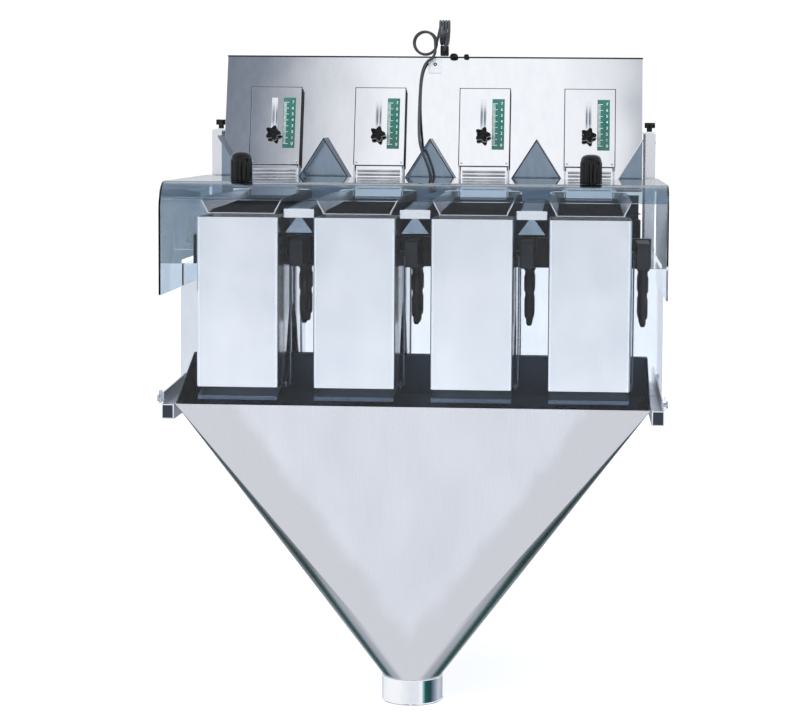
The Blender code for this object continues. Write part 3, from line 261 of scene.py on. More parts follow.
mirror = polished("mirror_polished_stainless", "#e9ebef", "#f8f9fb", (0.03, 0.08), 0.30, 240)
# The ridge plates are a greyer copy of the mirror sheet; the grey is painted shade.
ridge_shade_steel = polished("ridge_plate_painted_shade", "#7c8b99", "#93a1ae", (0.08, 0.16), 0.10, 60)
bright = polished("bright_turned_steel", "#dfe2e7", "#f0f2f5", (0.10, 0.18), 0.03, 20)
print("mirror finishes", mirror.name, ridge_shade_steel.name, bright.name)

# %% [markdown]
# ## Plastics, paint and cord jacket
#
# Knobs are moulded black nylon with a fine spark-eroded grain. Magnet blocks and cranks are castings under
# dark enamel with a slight orange peel. The pan floors are painted near black, as shade, and black rubber
# trims the hopper's edge; the same dark finish is painted shade in the joints round the gate housings. The
# cord's jacket is grey PVC, its tag a glossy film, and the scales are green film under a clear coat with
# white ink. All of them are one recipe with other numbers.

# %% Plastics and paint
def grained(name, low, high, roughness, cell_mm, relief, **extra):
    """A moulded or painted surface: fine grain in relief, colour and gloss varying a little with it."""
    finish, tree, _ = new_finish(name, high, 0.0, roughness[0], **extra)
    cells = 1 / (cell_mm * MM)
    grain = add_node(tree, "TexNoise", {"Scale": 1.0, "Detail": 2.0}, Vector=mapped(tree, (cells,) * 3))
    patches = add_node(tree, "TexNoise", {"Scale": 1.0}, Vector=mapped(tree, (30, 30, 30)))
    textured(tree, patches.outputs["Fac"], low, high, grain.outputs["Fac"], roughness,
             grain.outputs["Fac"], relief, 0.2 * MM)
    return finish


nylon = grained("black_moulded_nylon", "#020203", "#06070a", (0.12, 0.24), 0.9, 0.15, Specular_IOR_Level=0.30)
enamel = grained("dark_enamelled_casting", "#0d1219", "#1a222d", (0.30, 0.45), 1.6, 0.35,
                 Specular_IOR_Level=0.30)
# Painted shade: the pan floors are near black and dull.
pan_floor_shade = grained("pan_floor_painted_shade", "#05070a", "#0d1116", (0.60, 0.75), 1.5, 0.03,
                 Specular_IOR_Level=0.05)
# This dark finish also paints the shadow in the joints round the gate housings.
dark_trim_and_shade = grained("dark_rubber_and_painted_shade", "#14171c", "#22262c", (0.45, 0.60), 1.2, 0.2,
                 Specular_IOR_Level=0.3)
jacket = grained("grey_pvc_jacket", "#2b2f34", "#43484e", (0.34, 0.48), 0.8, 0.2)
cap_plastic = grained("dark_blue_end_cap", "#0d1320", "#1a2334", (0.30, 0.45), 1.2, 0.2)
tag_film = grained("white_tag_film", "#c3c8ce", "#dfe3e7", (0.15, 0.25), 2.0, 0.05)
ink = grained("white_printing_ink", "#e9efee", "#fbfdfc", (0.45, 0.55), 0.5, 0.1)
scale_green = grained("green_printed_film", "#0b554c", "#217266", (0.25, 0.34), 2.5, 0.05, Coat_Weight=0.5)
print("plastics", [item.name for item in (nylon, enamel, pan_floor_shade, dark_trim_and_shade, jacket, cap_plastic, scale_green)])

# %% [markdown]
# ## Smoke polycarbonate
#
# The guard is a thin clear sheet with a faint blue smoke. It is glossy, almost colourless face on, and
# darker where the light runs along it; this darker tint is painted shade, so its faces and its sides get
# two tints. Both carry a hard coating that reflects less than bare polycarbonate does.

# %% Guard sheet
def smoke_sheet(name, low, high, index):
    """Clear coated polycarbonate with a few wiping smears; the coating lowers its index from 1.58."""
    finish, tree, _ = new_finish(name, high, 0.0, 0.02, IOR=index, Transmission_Weight=1.0)
    smears = add_node(tree, "TexNoise", {"Scale": 1.0, "Detail": 3.0}, Vector=mapped(tree, (7, 7, 12)))
    textured(tree, smears.outputs["Fac"], low, high, smears.outputs["Fac"], (0.0, 0.06))
    return finish


guard_clear = smoke_sheet("smoke_polycarbonate_face", "#eaeff3", "#f6f8fa", 1.26)
guard_side_shade = smoke_sheet("smoke_polycarbonate_sides_painted_shade", "#93a9bb", "#b4c6d4", 1.40)
print("guard sheet", guard_clear.name, guard_side_shade.name)

# %% [markdown]
# ## Building blocks
#
# Every new piece starts from a bmesh primitive. Its place is written into the mesh, its faces are smoothed
# except at sharp corners, and it rides on the body that carries it on the real machine.

# %% Shape helpers
HEAD_PITCH = 0.230
LEAN = math.radians(15.0)
GATE_Y, GATE_Z = 0.085, 0.525
SLOPE = Matrix.Translation((0, GATE_Y, GATE_Z)) @ Matrix.Rotation(math.pi / 2 - LEAN, 4, "X")


def head_x(index):
    """X of one head's centre line."""
    return (index - (HEADS - 1) / 2) * HEAD_PITCH


def round_off(shape, geom, radius, steps, kind="EDGES"):
    """Round edges or corners; returns the bevel's result."""
    return bmesh.ops.bevel(shape, geom=geom, offset=radius, segments=steps, profile=0.5, affect=kind,
                           material=-1)


def only_verts(items):
    """The vertices among a bmesh operator's results."""
    return [item for item in items if isinstance(item, bmesh.types.BMVert)]


def block(shape, low, high, radius=0.0, steps=2, place=None):
    """Add a box between two corners, with its edges rounded."""
    low, high = Vector(low), Vector(high)
    made = bmesh.ops.create_cube(shape, size=1.0)["verts"]
    sized = Matrix.Translation((low + high) / 2) @ Matrix.Diagonal((*(high - low), 1))
    bmesh.ops.transform(shape, matrix=sized, verts=made)
    if radius:
        edges = list({edge for vertex in made for edge in vertex.link_edges})
        made = round_off(shape, edges, radius, steps)["verts"]
    if place is not None:
        bmesh.ops.transform(shape, matrix=place, verts=made)
    return made


def turned(shape, profile, place, steps=48):
    """Spin a (radius, height) profile round Z into a closed solid, then place it."""
    verts = [shape.verts.new((radius, 0, height)) for radius, height in profile]
    edges = [shape.edges.new(pair) for pair in zip(verts, verts[1:])]
    bmesh.ops.spin(shape, geom=verts + edges, axis=(0, 0, 1), cent=(0, 0, 0), angle=2 * math.pi,
                   steps=steps, use_merge=True)
    linked, queue = set(), [verts[len(verts) // 2]]
    while queue:
        vertex = queue.pop()
        if vertex in linked:
            continue
        linked.add(vertex)
        queue += [edge.other_vert(vertex) for edge in vertex.link_edges]
    linked = list(linked)
    bmesh.ops.remove_doubles(shape, verts=linked, dist=1e-6)
    linked = [vertex for vertex in linked if vertex.is_valid]
    faces = list({face for vertex in linked for face in vertex.link_faces})
    bmesh.ops.recalc_face_normals(shape, faces=faces)
    bmesh.ops.transform(shape, matrix=place, verts=linked)
    return linked


def put(name, shape, finish, body, replaces=(), sharp=35.0):
    """Turn a bmesh into a finished piece that rides on a body."""
    mesh = bpy.data.meshes.new(name)
    shape.to_mesh(mesh)
    shape.free()
    mesh.materials.append(finish)
    mesh.shade_smooth()
    mesh.set_sharp_from_angle(angle=math.radians(sharp))
    piece = bpy.data.objects.new(name, mesh)
    bpy.context.scene.collection.objects.link(piece)
    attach(piece, body)
    if replaces:
        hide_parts(*replaces)
    return piece


def facing(point, direction):
    """A matrix that stands a piece made along +Z on a point, pointing in a direction."""
    return Matrix.Translation(point) @ Vector(direction).to_track_quat("Z", "Y").to_matrix().to_4x4()

# %% [markdown]
# ## The control cord
#
# A thin signal lead leaves a gland at the middle ridge, climbs to the hopper's rim, is wound twice in a
# ring and a little over three more times across it, and ends in a small plug that stands on the rim. It
# keeps the solid model's route points, and a loop works out the turns, which drift a little as hand-wound
# turns do. The jacket is soft, so a bend of two diameters is allowed.

# %% Cord route
CORD_RADIUS = 3 * MM
ROUTE = [
    (0.004, 0.0455, 0.452), (0.004, 0.036, 0.4522), (0.004, 0.026, 0.455), (0.0036, 0.0175, 0.462),
    (0.0025, 0.0125, 0.473), (-0.0015, 0.0105, 0.488), (-0.0075, 0.0105, 0.504), (-0.015, 0.013, 0.522),
    (-0.0205, 0.02, 0.539), (-0.0238, 0.036, 0.556), (-0.0262, 0.06, 0.574), (-0.028, 0.085, 0.591),
    (-0.029, 0.106, 0.609), (-0.0295, 0.121, 0.629), (-0.0293, 0.131, 0.65), (-0.0285, 0.138, 0.672),
    (-0.0262, 0.1435, 0.692), (-0.0215, 0.1485, 0.709), (-0.014, 0.152, 0.7205), (-0.006, 0.154, 0.7258),
    (-0.0005, 0.1546, 0.7332), (0.0022, 0.1547, 0.742),
]
coil_low, coil_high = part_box("cord_coil")
COIL = (coil_low + coil_high) / 2
bundle_low, bundle_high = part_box("cord_bundle")
BUNDLE = (bundle_low + bundle_high) / 2
TURN_RADIUS = (coil_high.x - coil_low.x) / 2 - CORD_RADIUS
TURN_PITCH = 6.3 * MM
TURN_POINTS = 16
RING_SLACK, RING_DRIFT_X, RING_DRIFT_Z = 2.2 * MM, 1.2 * MM, 1.5 * MM
BUNDLE_FIRST, BUNDLE_LAST = 2, 56


def cord_points():
    """The route, two turns round Y, the turns round X, and the lead down to the plug."""
    points = [Vector(point) for point in ROUTE]
    for step in range(2 * TURN_POINTS + 1):
        angle = 2 * math.pi * step / TURN_POINTS
        drift = step / TURN_POINTS - 1
        reach = TURN_RADIUS - RING_SLACK * abs(drift)
        points.append(COIL + Vector((reach * math.cos(angle) + RING_DRIFT_X * drift, drift * TURN_PITCH,
                                     reach * math.sin(angle) - RING_DRIFT_Z * drift)))
    for step in range(BUNDLE_FIRST, BUNDLE_LAST + 1):
        angle = 2 * math.pi * step / TURN_POINTS
        across = (step / TURN_POINTS - 1.75) * TURN_PITCH
        points.append(BUNDLE + Vector((across, TURN_RADIUS * math.cos(angle), TURN_RADIUS * math.sin(angle))))
    low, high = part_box("cord_plug")
    middle = (low + high) / 2
    front = BUNDLE.y - TURN_RADIUS
    points.append(Vector((points[-1].x - 0.004, front, middle.z + 0.025)))
    points.append(Vector((middle.x + 0.003, front + 0.002, middle.z + 0.011)))
    points.append(Vector((middle.x, front + 0.0085, middle.z + 0.002)))
    points.append(Vector((middle.x, low.y, middle.z)))
    return points


def smooth(points, steps=5):
    """A smooth curve through the points."""
    ends = [points[0] * 2 - points[1], *points, points[-1] * 2 - points[-2]]
    fine = []
    for p0, p1, p2, p3 in zip(ends, ends[1:], ends[2:], ends[3:]):
        for step in range(steps):
            t = step / steps
            fine.append(0.5 * (2 * p1 + (p2 - p0) * t + (2 * p0 - 5 * p1 + 4 * p2 - p3) * t ** 2
                               + (3 * p1 - p0 - 3 * p2 + p3) * t ** 3))
    return [*fine, points[-1]]


fine = smooth(cord_points())
curve = bpy.data.curves.new("control_cord", "CURVE")
curve.dimensions = "3D"
curve.bevel_depth = CORD_RADIUS
curve.bevel_resolution = 3
curve.use_fill_caps = True
spline = curve.splines.new("POLY")
spline.points.add(len(fine) - 1)
for target, point in zip(spline.points, fine):
    target.co = (*point, 1.0)
spline.use_smooth = True
curve.materials.append(jacket)
cord = bpy.data.objects.new("control_cord", curve)
bpy.context.scene.collection.objects.link(cord)
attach(cord, "frame")
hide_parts("cord_tube", "cord_coil", "cord_bundle")

# %% [markdown]
# ## Gland, plug and tag on the cord
#
# The gland is a turned nylon nut with a tapered nose, so it is spun. The plug is a small rounded housing
# with finger ribs and a boot at its front. The film tag leans against the hopper below the loops.

# %% Gland and plug
low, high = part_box("cord_gland")
gland = bmesh.new()
length = high.y - low.y
turned(gland, [(0, 1.2 * MM), (2.6 * MM, 1.2 * MM), (3.2 * MM, 0), (5.0 * MM, 0), (5.6 * MM, 1 * MM),
               (5.9 * MM, length * 0.45), (8.0 * MM, length * 0.5), (8.0 * MM, length - 1 * MM),
               (7.2 * MM, length), (0, length)],
       facing(((low.x + high.x) / 2, low.y, (low.z + high.z) / 2), (0, 1, 0)), 24)
gland_piece = put("cable_gland", gland, nylon, "frame", ["cord_gland"])

PLUG_RIBS, RIB_OUT, RIB_BACK = 5, 0.5 * MM, 2 * MM
low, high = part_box("cord_plug")
plug = bmesh.new()
block(plug, low, high, 1.5 * MM, 3)
for step in range(PLUG_RIBS):
    rib_z = low.z + (4.0 + 3.2 * step) * MM
    block(plug, (low.x - RIB_OUT, low.y + RIB_BACK, rib_z),
          (high.x + RIB_OUT, high.y - RIB_BACK, rib_z + 1.6 * MM), 0.4 * MM)
middle = (low + high) / 2
turned(plug, [(0, -5 * MM), (3.4 * MM, -5 * MM), (4.6 * MM, 0), (4.6 * MM, 1 * MM), (0, 1 * MM)],
       facing((middle.x, low.y, middle.z), (0, 1, 0)), 20)
plug_piece = put("signal_plug", plug, nylon, "frame", ["cord_plug"])
print("gland and plug", gland_piece.name, plug_piece.name)

# %% Tag
tag = bmesh.new()
block(tag, (-0.0125, 0.181, -0.0215), (0.0165, 0.2145, -0.0205), 0.4 * MM, 2, SLOPE)
put("cord_tag", tag, tag_film, "frame")
tag_eye = bmesh.new()
turned(tag_eye, [(1.6 * MM, 0), (4 * MM, 0), (4 * MM, 0.9 * MM), (1.6 * MM, 0.9 * MM), (1.6 * MM, 0)],
       SLOPE @ Matrix.Translation((0.002, 0.2010, -0.0206)), 20)
put("cord_tag_eye", tag_eye, dark_trim_and_shade, "frame")
print("tag leans on the hopper front")

# %% [markdown]
# ## Rounded edges on the sheet metal
#
# Folded and cut sheet never has a knife edge. Each solid is copied, its loose triangles are merged back
# into flat faces, and a small bevel breaks every hard edge, so that it catches a line of light. Weighted
# normals keep the large faces flat beside the bevels. Some faces then take a second finish: painted shade
# on the inside of the chute, on the pan floors and on the ridges of the dividers, and the trim of the
# dividers.

# %% Broken edges
LARGE_FACES_ONLY = 100


def softened(node, finish, width, steps=2, angle=30.0):
    """A copy of a solid with its flat faces restored and its hard edges rounded."""
    source = frame["nodes"][node]
    shape = bmesh.new()
    shape.from_mesh(source.data)
    bmesh.ops.remove_doubles(shape, verts=shape.verts, dist=0.01 * MM)
    bmesh.ops.dissolve_limit(shape, angle_limit=math.radians(0.5), verts=shape.verts, edges=shape.edges)
    piece = put(f"{node}_finished", shape, finish, source["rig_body"], [node])
    bevel = piece.modifiers.new("broken_edges", "BEVEL")
    bevel.width = width
    bevel.segments = steps
    bevel.limit_method = "ANGLE"
    bevel.angle_limit = math.radians(angle)
    weighted = piece.modifiers.new("flat_face_normals", "WEIGHTED_NORMAL")
    weighted.keep_sharp = True
    weighted.weight = LARGE_FACES_ONLY
    return piece


def line_inside(piece, finish, chosen):
    """Give a second finish to the faces that the test chooses."""
    piece.data.materials.append(finish)
    for face in piece.data.polygons:
        if chosen(face.center, face.normal):
            face.material_index = len(piece.data.materials) - 1


FINISHES = {
    "left_rail": (cross_brushed, "satin", 0.8), "right_rail": (cross_brushed, "satin", 0.8),
    "left_rail_plug": (cap_plastic, "black", 1.0), "right_rail_plug": (cap_plastic, "black", 1.0),
    "front_cross_member": (cross_brushed, "satin", 0.8), "rear_cross_member": (cross_brushed, "satin", 0.8),
    "chassis": (mirror, "mirror", 1.2), "rear_cover": (satin, "satin", 0.6),
    "drive_beam": (enamel, "satin", 1.5), "left_column": (satin, "satin", 0.5),
    "right_column": (satin, "satin", 0.5), "hopper": (mirror, "mirror", 0.5),
    "discharge_chute": (chute_steel, "satin", 0.5),
}
# The dump flaps and link rods take the darker copy of the sheet, which is painted shade.
for number in range(1, HEADS + 1):
    FINISHES[f"dump_flap_{number}"] = (bay_painted_shade, "satin", 0.4)
    FINISHES[f"drive_arm_{number}"] = (enamel, "casting", 0.5)
    FINISHES[f"link_rod_{number}"] = (bay_painted_shade, "satin", 0.5)
    FINISHES[f"feeder_pan_{number}"] = (satin, "satin", 0.4)
    FINISHES[f"vibrator_{number}"] = (enamel, "casting", 1.5)
    FINISHES[f"gate_{number}"] = (mirror, "mirror", 0.4)
for number in range(1, HEADS):
    FINISHES[f"pan_divider_{number}"] = (satin, "satin", 0.4)
finished = {}
for node, (finish, slot, width) in FINISHES.items():
    finished[node] = softened(node, finish, width * MM)
print("broken edges on", len(FINISHES), "solids")

# %% Second finishes
CHUTE_BACK_Y, CHUTE_FRONT_Y = -0.30, -0.42
PAN_TOP_Z = 0.430
RIDGE_Z, RIDGE_FRONT_Y, RIDGE_BACK_Y = 0.458, 0.03, 0.05


def inside_chute(centre, normal):
    """Faces that look up, forwards from the back wall, inwards from a side or back from the front wall."""
    back_wall = normal.y < -0.7 and centre.y > CHUTE_BACK_Y
    front_wall = normal.y > 0.3 and centre.y < CHUTE_FRONT_Y
    return normal.z > 0.05 or back_wall or normal.x * centre.x < -0.02 or front_wall


def pan_floor(centre, normal):
    """Faces of a pan that look up, below its rim."""
    return normal.z > 0.25 and centre.z < PAN_TOP_Z


def ridge_face(centre, normal):
    """The ridge's rear front plate and its sloping sides."""
    return (normal.y < -0.9 and centre.y > RIDGE_BACK_Y) or (centre.z > RIDGE_Z and abs(normal.y) < 0.9)


def ridge_trim(centre, normal):
    """The triangular front end of the ridge."""
    return centre.z > RIDGE_Z and centre.y < RIDGE_FRONT_Y and normal.y < -0.9


# Painted shade: the inside of the chute, the pan floors and the divider ridges take darker finishes.
line_inside(finished["discharge_chute"], chute_inside_painted_shade, inside_chute)
for number in range(1, HEADS + 1):
    line_inside(finished[f"feeder_pan_{number}"], pan_floor_shade, pan_floor)
for number in range(1, HEADS):
    divider = finished[f"pan_divider_{number}"]
    line_inside(divider, ridge_shade_steel, ridge_face)
    line_inside(divider, dark_trim_and_shade, ridge_trim)
print("second finishes on", 1 + HEADS + HEADS - 1, "solids")

# %% [markdown]
# ## Weigh buckets
#
# Each bucket is one folded sheet. Its front corners are bent round a tool, and these bends catch the studio
# as one bright and one dark upright line. The shell is made from three rounded outlines bridged into a
# skin, which then gets the sheet's thickness.

# %% Weigh buckets
BUCKET_HALF, BUCKET_DEPTH, BUCKET_MOUTH = 0.0805, 0.170, 0.093
BUCKET_KNEE_Z = 0.200
HOOK_HALF, HOOK_LOW_Z, HOOK_HIGH_Z = 0.022, 0.302, 0.344


def bucket(number):
    """A folded bucket with rounded corners and a rounded hook plate behind."""
    low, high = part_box(f"weigh_bucket_{number}")
    middle = (low.x + high.x) / 2
    levels = [(low.z, BUCKET_MOUTH), (BUCKET_KNEE_Z, BUCKET_DEPTH), (high.z, BUCKET_DEPTH)]
    shape = bmesh.new()
    loops = []
    for level, reach in levels:
        rear = low.y + reach
        corners = [shape.verts.new((middle + x, y, level)) for x, y in
                   ((-BUCKET_HALF, low.y), (BUCKET_HALF, low.y), (BUCKET_HALF, rear), (-BUCKET_HALF, rear))]
        for pair in zip(corners, corners[1:] + corners[:1]):
            shape.edges.new(pair)
        rounded = round_off(shape, corners, 6 * MM, 6, "VERTICES")
        loops.append(list({edge for vertex in rounded["verts"] for edge in vertex.link_edges}))
    for below, above in zip(loops, loops[1:]):
        bmesh.ops.bridge_loops(shape, edges=below + above)
    bmesh.ops.recalc_face_normals(shape, faces=shape.faces)
    bmesh.ops.solidify(shape, geom=shape.faces, thickness=1.8 * MM)
    hook_front = low.y + BUCKET_DEPTH - 1 * MM
    block(shape, (middle - HOOK_HALF, hook_front, HOOK_LOW_Z),
          (middle + HOOK_HALF, high.y, HOOK_HIGH_Z), 1 * MM)
    folded = put(f"bucket_{number}_folded", shape, satin, "frame", [f"weigh_bucket_{number}"])
    line_inside(folded, bright, lambda centre, normal: 0.12 < abs(normal.x) < 0.99 and abs(normal.z) < 0.3)
    return folded


for number in range(1, HEADS + 1):
    bucket(number)
print("buckets", HEADS)

# %% [markdown]
# ## Knobs
#
# Three kinds, all black nylon: five-lobed stars on the gates and columns, and tall fluted grips on the
# guard. A round bar is given its lobes by moving its rings in and out, and its rims are bevelled.

# %% Star and fluted knobs
def lobed_bar(shape, radius, wave, lobes, low, high, rim, power=1.0):
    """A bar along Z whose sides wave in between its lobes, with rounded rims."""
    made = bmesh.ops.create_cone(shape, cap_ends=True, segments=lobes * 12, radius1=radius, radius2=radius,
                                 depth=high - low)["verts"]
    bmesh.ops.translate(shape, vec=(0, 0, (low + high) / 2), verts=made)
    for vertex in made:
        swing = (1 - math.cos(lobes * math.atan2(vertex.co.y, vertex.co.x))) / 2
        reach = 1 - wave * swing ** power / radius
        vertex.co.x *= reach
        vertex.co.y *= reach
    rims = [edge for edge in {e for v in made for e in v.link_edges}
            if abs(edge.verts[0].co.z - edge.verts[1].co.z) < MM / 10]
    rounded = round_off(shape, rims, rim, 4)
    return list({vertex for vertex in [*made, *rounded["verts"]] if vertex.is_valid})


def knob(name, node, place, build, body):
    """Put a knob built along Z on its stud."""
    shape = bmesh.new()
    build(shape)
    bmesh.ops.transform(shape, matrix=place, verts=shape.verts)
    bmesh.ops.recalc_face_normals(shape, faces=shape.faces)
    return put(name, shape, nylon, body, [node], 40)


def gate_star(shape):
    """A five-lobed knob with a tapered foot and a low crown."""
    lobed_bar(shape, 17.5 * MM, 6.5 * MM, 5, 8 * MM, 20 * MM, 1.8 * MM, 0.9)
    turned(shape, [(0, 0.9 * MM), (9 * MM, 0.9 * MM), (8 * MM, 9 * MM), (0, 9 * MM)], Matrix.Identity(4), 24)
    turned(shape, [(0, 19 * MM), (6.5 * MM, 19 * MM), (6 * MM, 20.6 * MM), (4 * MM, 21.2 * MM),
                   (0, 21.3 * MM)], Matrix.Identity(4), 24)


def column_star(shape):
    """A smaller five-lobed knob on a plain foot."""
    lobed_bar(shape, 12.5 * MM, 4 * MM, 5, 8 * MM, 20 * MM, 1.8 * MM)
    turned(shape, [(0, 0), (6 * MM, 0), (6 * MM, 9 * MM), (0, 9 * MM)], Matrix.Identity(4), 24)


def fluted_grip(shape):
    """A tall twelve-fluted grip under a smooth domed cap."""
    lobed_bar(shape, 21.5 * MM, 3.2 * MM, 12, 0, 43 * MM, 1.2 * MM, 1.6)
    turned(shape, [(0, 38 * MM), (19.6 * MM, 38 * MM), (20.6 * MM, 41 * MM), (20.4 * MM, 46 * MM),
                   (19 * MM, 51 * MM), (16 * MM, 54.8 * MM), (11 * MM, 57.2 * MM), (5 * MM, 58 * MM),
                   (0, 58 * MM)], Matrix.Identity(4), 48)


KNOB_UP, KNOB_X = 0.0321, -0.003
for number in range(1, HEADS + 1):
    place = SLOPE @ Matrix.Translation((head_x(number - 1) + KNOB_X, KNOB_UP, 0.4 * MM))
    knob(f"gate_star_{number}", f"gate_knob_{number}", place, gate_star, f"gate_clamp_{number}")
for side in ("left", "right"):
    for node, build, body in ((f"{side}_column_knob", column_star, f"{side}_hopper_clamp"),
                              (f"{side}_cover_knob", fluted_grip, f"{side}_guard_grip")):
        low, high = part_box(node)
        foot = ((low.x + high.x) / 2, (low.y + high.y) / 2, low.z)
        knob(f"{node}_moulded", node, Matrix.Translation(foot), build, body)
print("knobs", HEADS + 4)

# %% [markdown]
# ## Gate scales and pointers
#
# Beside each star knob a green film shows how far the gate is open, with a long mark and a number every
# 13.4 mm. A bright washer under the knob carries a pointer to the marks, and a thin strip that covers the
# slot.

# %% Scales
SCALE_LOW, SCALE_HIGH, SCALE_X, SCALE_HALF = 0.0025, 0.1165, 0.0298, 0.0135
ROWS, ROW_STEP, FINE_MARKS, FIRST_ROW = 8, 13.4 * MM, 5, 9.5 * MM
MARK_X, MARK_HALF, LONG_MARK, SHORT_MARK = -12.5 * MM, 0.45 * MM, 11 * MM, 6 * MM


def digit(shape, text, across, up):
    """Add a small flat number, turned into mesh before it is placed."""
    data = bpy.data.curves.new("digit", "FONT")
    data.body = text
    data.size = 9 * MM
    data.align_x = "CENTER"
    data.align_y = "CENTER"
    data.extrude = 0.1 * MM
    holder = bpy.data.objects.new("digit", data)
    mesh = bpy.data.meshes.new_from_object(holder)
    mesh.transform(SLOPE @ Matrix.Translation((across, up, 0.9 * MM)))
    shape.from_mesh(mesh)
    bpy.data.objects.remove(holder)
    bpy.data.meshes.remove(mesh)


for number in range(1, HEADS + 1):
    x = head_x(number - 1)
    middle = x + SCALE_X
    film = bmesh.new()
    block(film, (middle - SCALE_HALF, SCALE_LOW, 0), (middle + SCALE_HALF, SCALE_HIGH, 0.8 * MM), 0.3 * MM,
          2, SLOPE)
    put(f"gate_scale_{number}", film, scale_green, "frame")
    print_marks = bmesh.new()
    for row in range(ROWS):
        up = SCALE_LOW + FIRST_ROW + row * ROW_STEP
        digit(print_marks, str(row), middle + 7.5 * MM, up)
        for fine_row in range(FINE_MARKS if row < ROWS - 1 else 1):
            reach = LONG_MARK if fine_row == 0 else SHORT_MARK
            mark = up + fine_row * ROW_STEP / FINE_MARKS
            block(print_marks, (middle + MARK_X, mark - MARK_HALF, 0.7 * MM),
                  (middle + MARK_X + reach, mark + MARK_HALF, 1.0 * MM), 0, 1, SLOPE)
    put(f"scale_marks_{number}", print_marks, ink, "frame")
    stud = x + KNOB_X
    pointer = bmesh.new()
    disc = SLOPE @ Matrix.Translation((stud, KNOB_UP, 0))
    turned(pointer, [(4.2 * MM, 0.7 * MM), (11 * MM, 0.7 * MM), (11 * MM, 1.2 * MM), (4.2 * MM, 1.2 * MM),
                     (4.2 * MM, 0.7 * MM)], disc, 32)
    block(pointer, (stud + 8 * MM, KNOB_UP - 1.5 * MM, 0.85 * MM),
          (stud + 18.5 * MM, KNOB_UP + 1.5 * MM, 1.15 * MM), 0.1 * MM, 2, SLOPE)
    block(pointer, (stud - 6.5 * MM, KNOB_UP - 9 * MM, 0.15 * MM),
          (stud + 6.5 * MM, KNOB_UP + 84 * MM, 0.65 * MM), 0.15 * MM, 2, SLOPE)
    put(f"gate_pointer_{number}", pointer, bright, f"gate_slide_{number}")
print("scales", HEADS, "rows", ROWS)

# %% [markdown]
# ## Hopper rim
#
# A black rubber edge trim is pressed over the hopper's cut top edge, and it draws the dark line along the
# rim. A frame-shaped ring is left from a grid by an inset, raised, and its edges are rounded as moulded
# rubber is.

# %% Hopper rim
RIM_HALF, RIM_OVERHANG, FRONT_WALL = 0.460, 0.001, 0.022
TRIM_WIDTH, TRIM_BELOW, TRIM_TALL = 4 * MM, 3.2 * MM, 3.5 * MM
low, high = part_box("hopper")
RIM_Z = high.z
lean_out = (RIM_Z - GATE_Z + FRONT_WALL * math.sin(LEAN)) / math.cos(LEAN) * math.sin(LEAN)
front_y = GATE_Y + lean_out + FRONT_WALL * math.cos(LEAN)
outer_low = Vector((-RIM_HALF - RIM_OVERHANG, front_y - 0.0015, 0))
outer_high = Vector((RIM_HALF + RIM_OVERHANG, high.y, 0))
stretch = Matrix.Diagonal((outer_high.x - outer_low.x, outer_high.y - outer_low.y, 1, 1))
foot = (outer_low + outer_high) / 2 + Vector((0, 0, RIM_Z - TRIM_BELOW))
rim = bmesh.new()
flat = bmesh.ops.create_grid(rim, x_segments=1, y_segments=1, size=0.5)["verts"]
bmesh.ops.transform(rim, matrix=Matrix.Translation(foot) @ stretch, verts=flat)
inner = bmesh.ops.inset_region(rim, faces=list(rim.faces), thickness=TRIM_WIDTH, use_even_offset=True,
                               use_boundary=True)
hole = [face for face in rim.faces if face not in inner["faces"]]
bmesh.ops.delete(rim, geom=hole, context="FACES")
raised = bmesh.ops.extrude_face_region(rim, geom=list(rim.faces))["geom"]
bmesh.ops.translate(rim, vec=(0, 0, TRIM_TALL), verts=only_verts(raised))
bmesh.ops.recalc_face_normals(rim, faces=rim.faces)
round_off(rim, list(rim.edges), 1.0 * MM, 3)
put("hopper_rim", rim, dark_trim_and_shade, "frame")
print("hopper rim at", round(RIM_Z, 3))

# %% [markdown]
# ## Gate housings
#
# Thin dark strips round each welded housing draw its dark outline; they are painted shade, the shadow in
# its joint. Three pressed beads stiffen the lower flange; on bright sheet, such beads show as stacked light
# and dark lines.

# %% Shade strips and beads
SHADE_STRIP_X, SHADE_STRIP_HALF, SHADE_STRIP_LOW, SHADE_STRIP_HIGH = 0.0553, 0.9 * MM, -0.033, 0.1416
CAP_HALF, CAP_LOW, CAP_HIGH = 0.0544, 0.1398, 0.1415
BEAD_HALF, BEAD_UPS = 0.047, (-0.046, -0.054, -0.063)
for number in range(1, HEADS + 1):
    x = head_x(number - 1)
    shade_strips = bmesh.new()
    for side in (-1, 1):
        edge = x + side * SHADE_STRIP_X
        for deep, shallow in ((-0.0223, -0.0180), (-0.0045, -0.0008)):
            block(shade_strips, (edge - SHADE_STRIP_HALF, SHADE_STRIP_LOW, deep), (edge + SHADE_STRIP_HALF, SHADE_STRIP_HIGH, shallow),
                  0.3 * MM, 2, SLOPE)
    for deep, shallow in ((-0.0222, -0.0181), (-0.0044, -0.0009)):
        block(shade_strips, (x - CAP_HALF, CAP_LOW, deep), (x + CAP_HALF, CAP_HIGH, shallow), 0.3 * MM, 2, SLOPE)
    # These strips are painted shade: the shadow in the joint round the housing.
    put(f"housing_shade_strip_{number}", shade_strips, dark_trim_and_shade, "frame")
    beads = bmesh.new()
    for up in BEAD_UPS:
        block(beads, (x - BEAD_HALF, up - 1.6 * MM, -1 * MM), (x + BEAD_HALF, up + 1.6 * MM, 1.2 * MM),
              1.05 * MM, 3, SLOPE)
    put(f"flange_beads_{number}", beads, bright, "frame")
print("painted shade strips and beads", 2 * HEADS)

# %% [markdown]
# ## End ridges and hat-strip ends
#
# The hopper's floor is a row of ridges, with half a ridge at each end wall. In front of each half stands a
# folded triangular plate. Small triangular ends also close the hat strips between the pans.

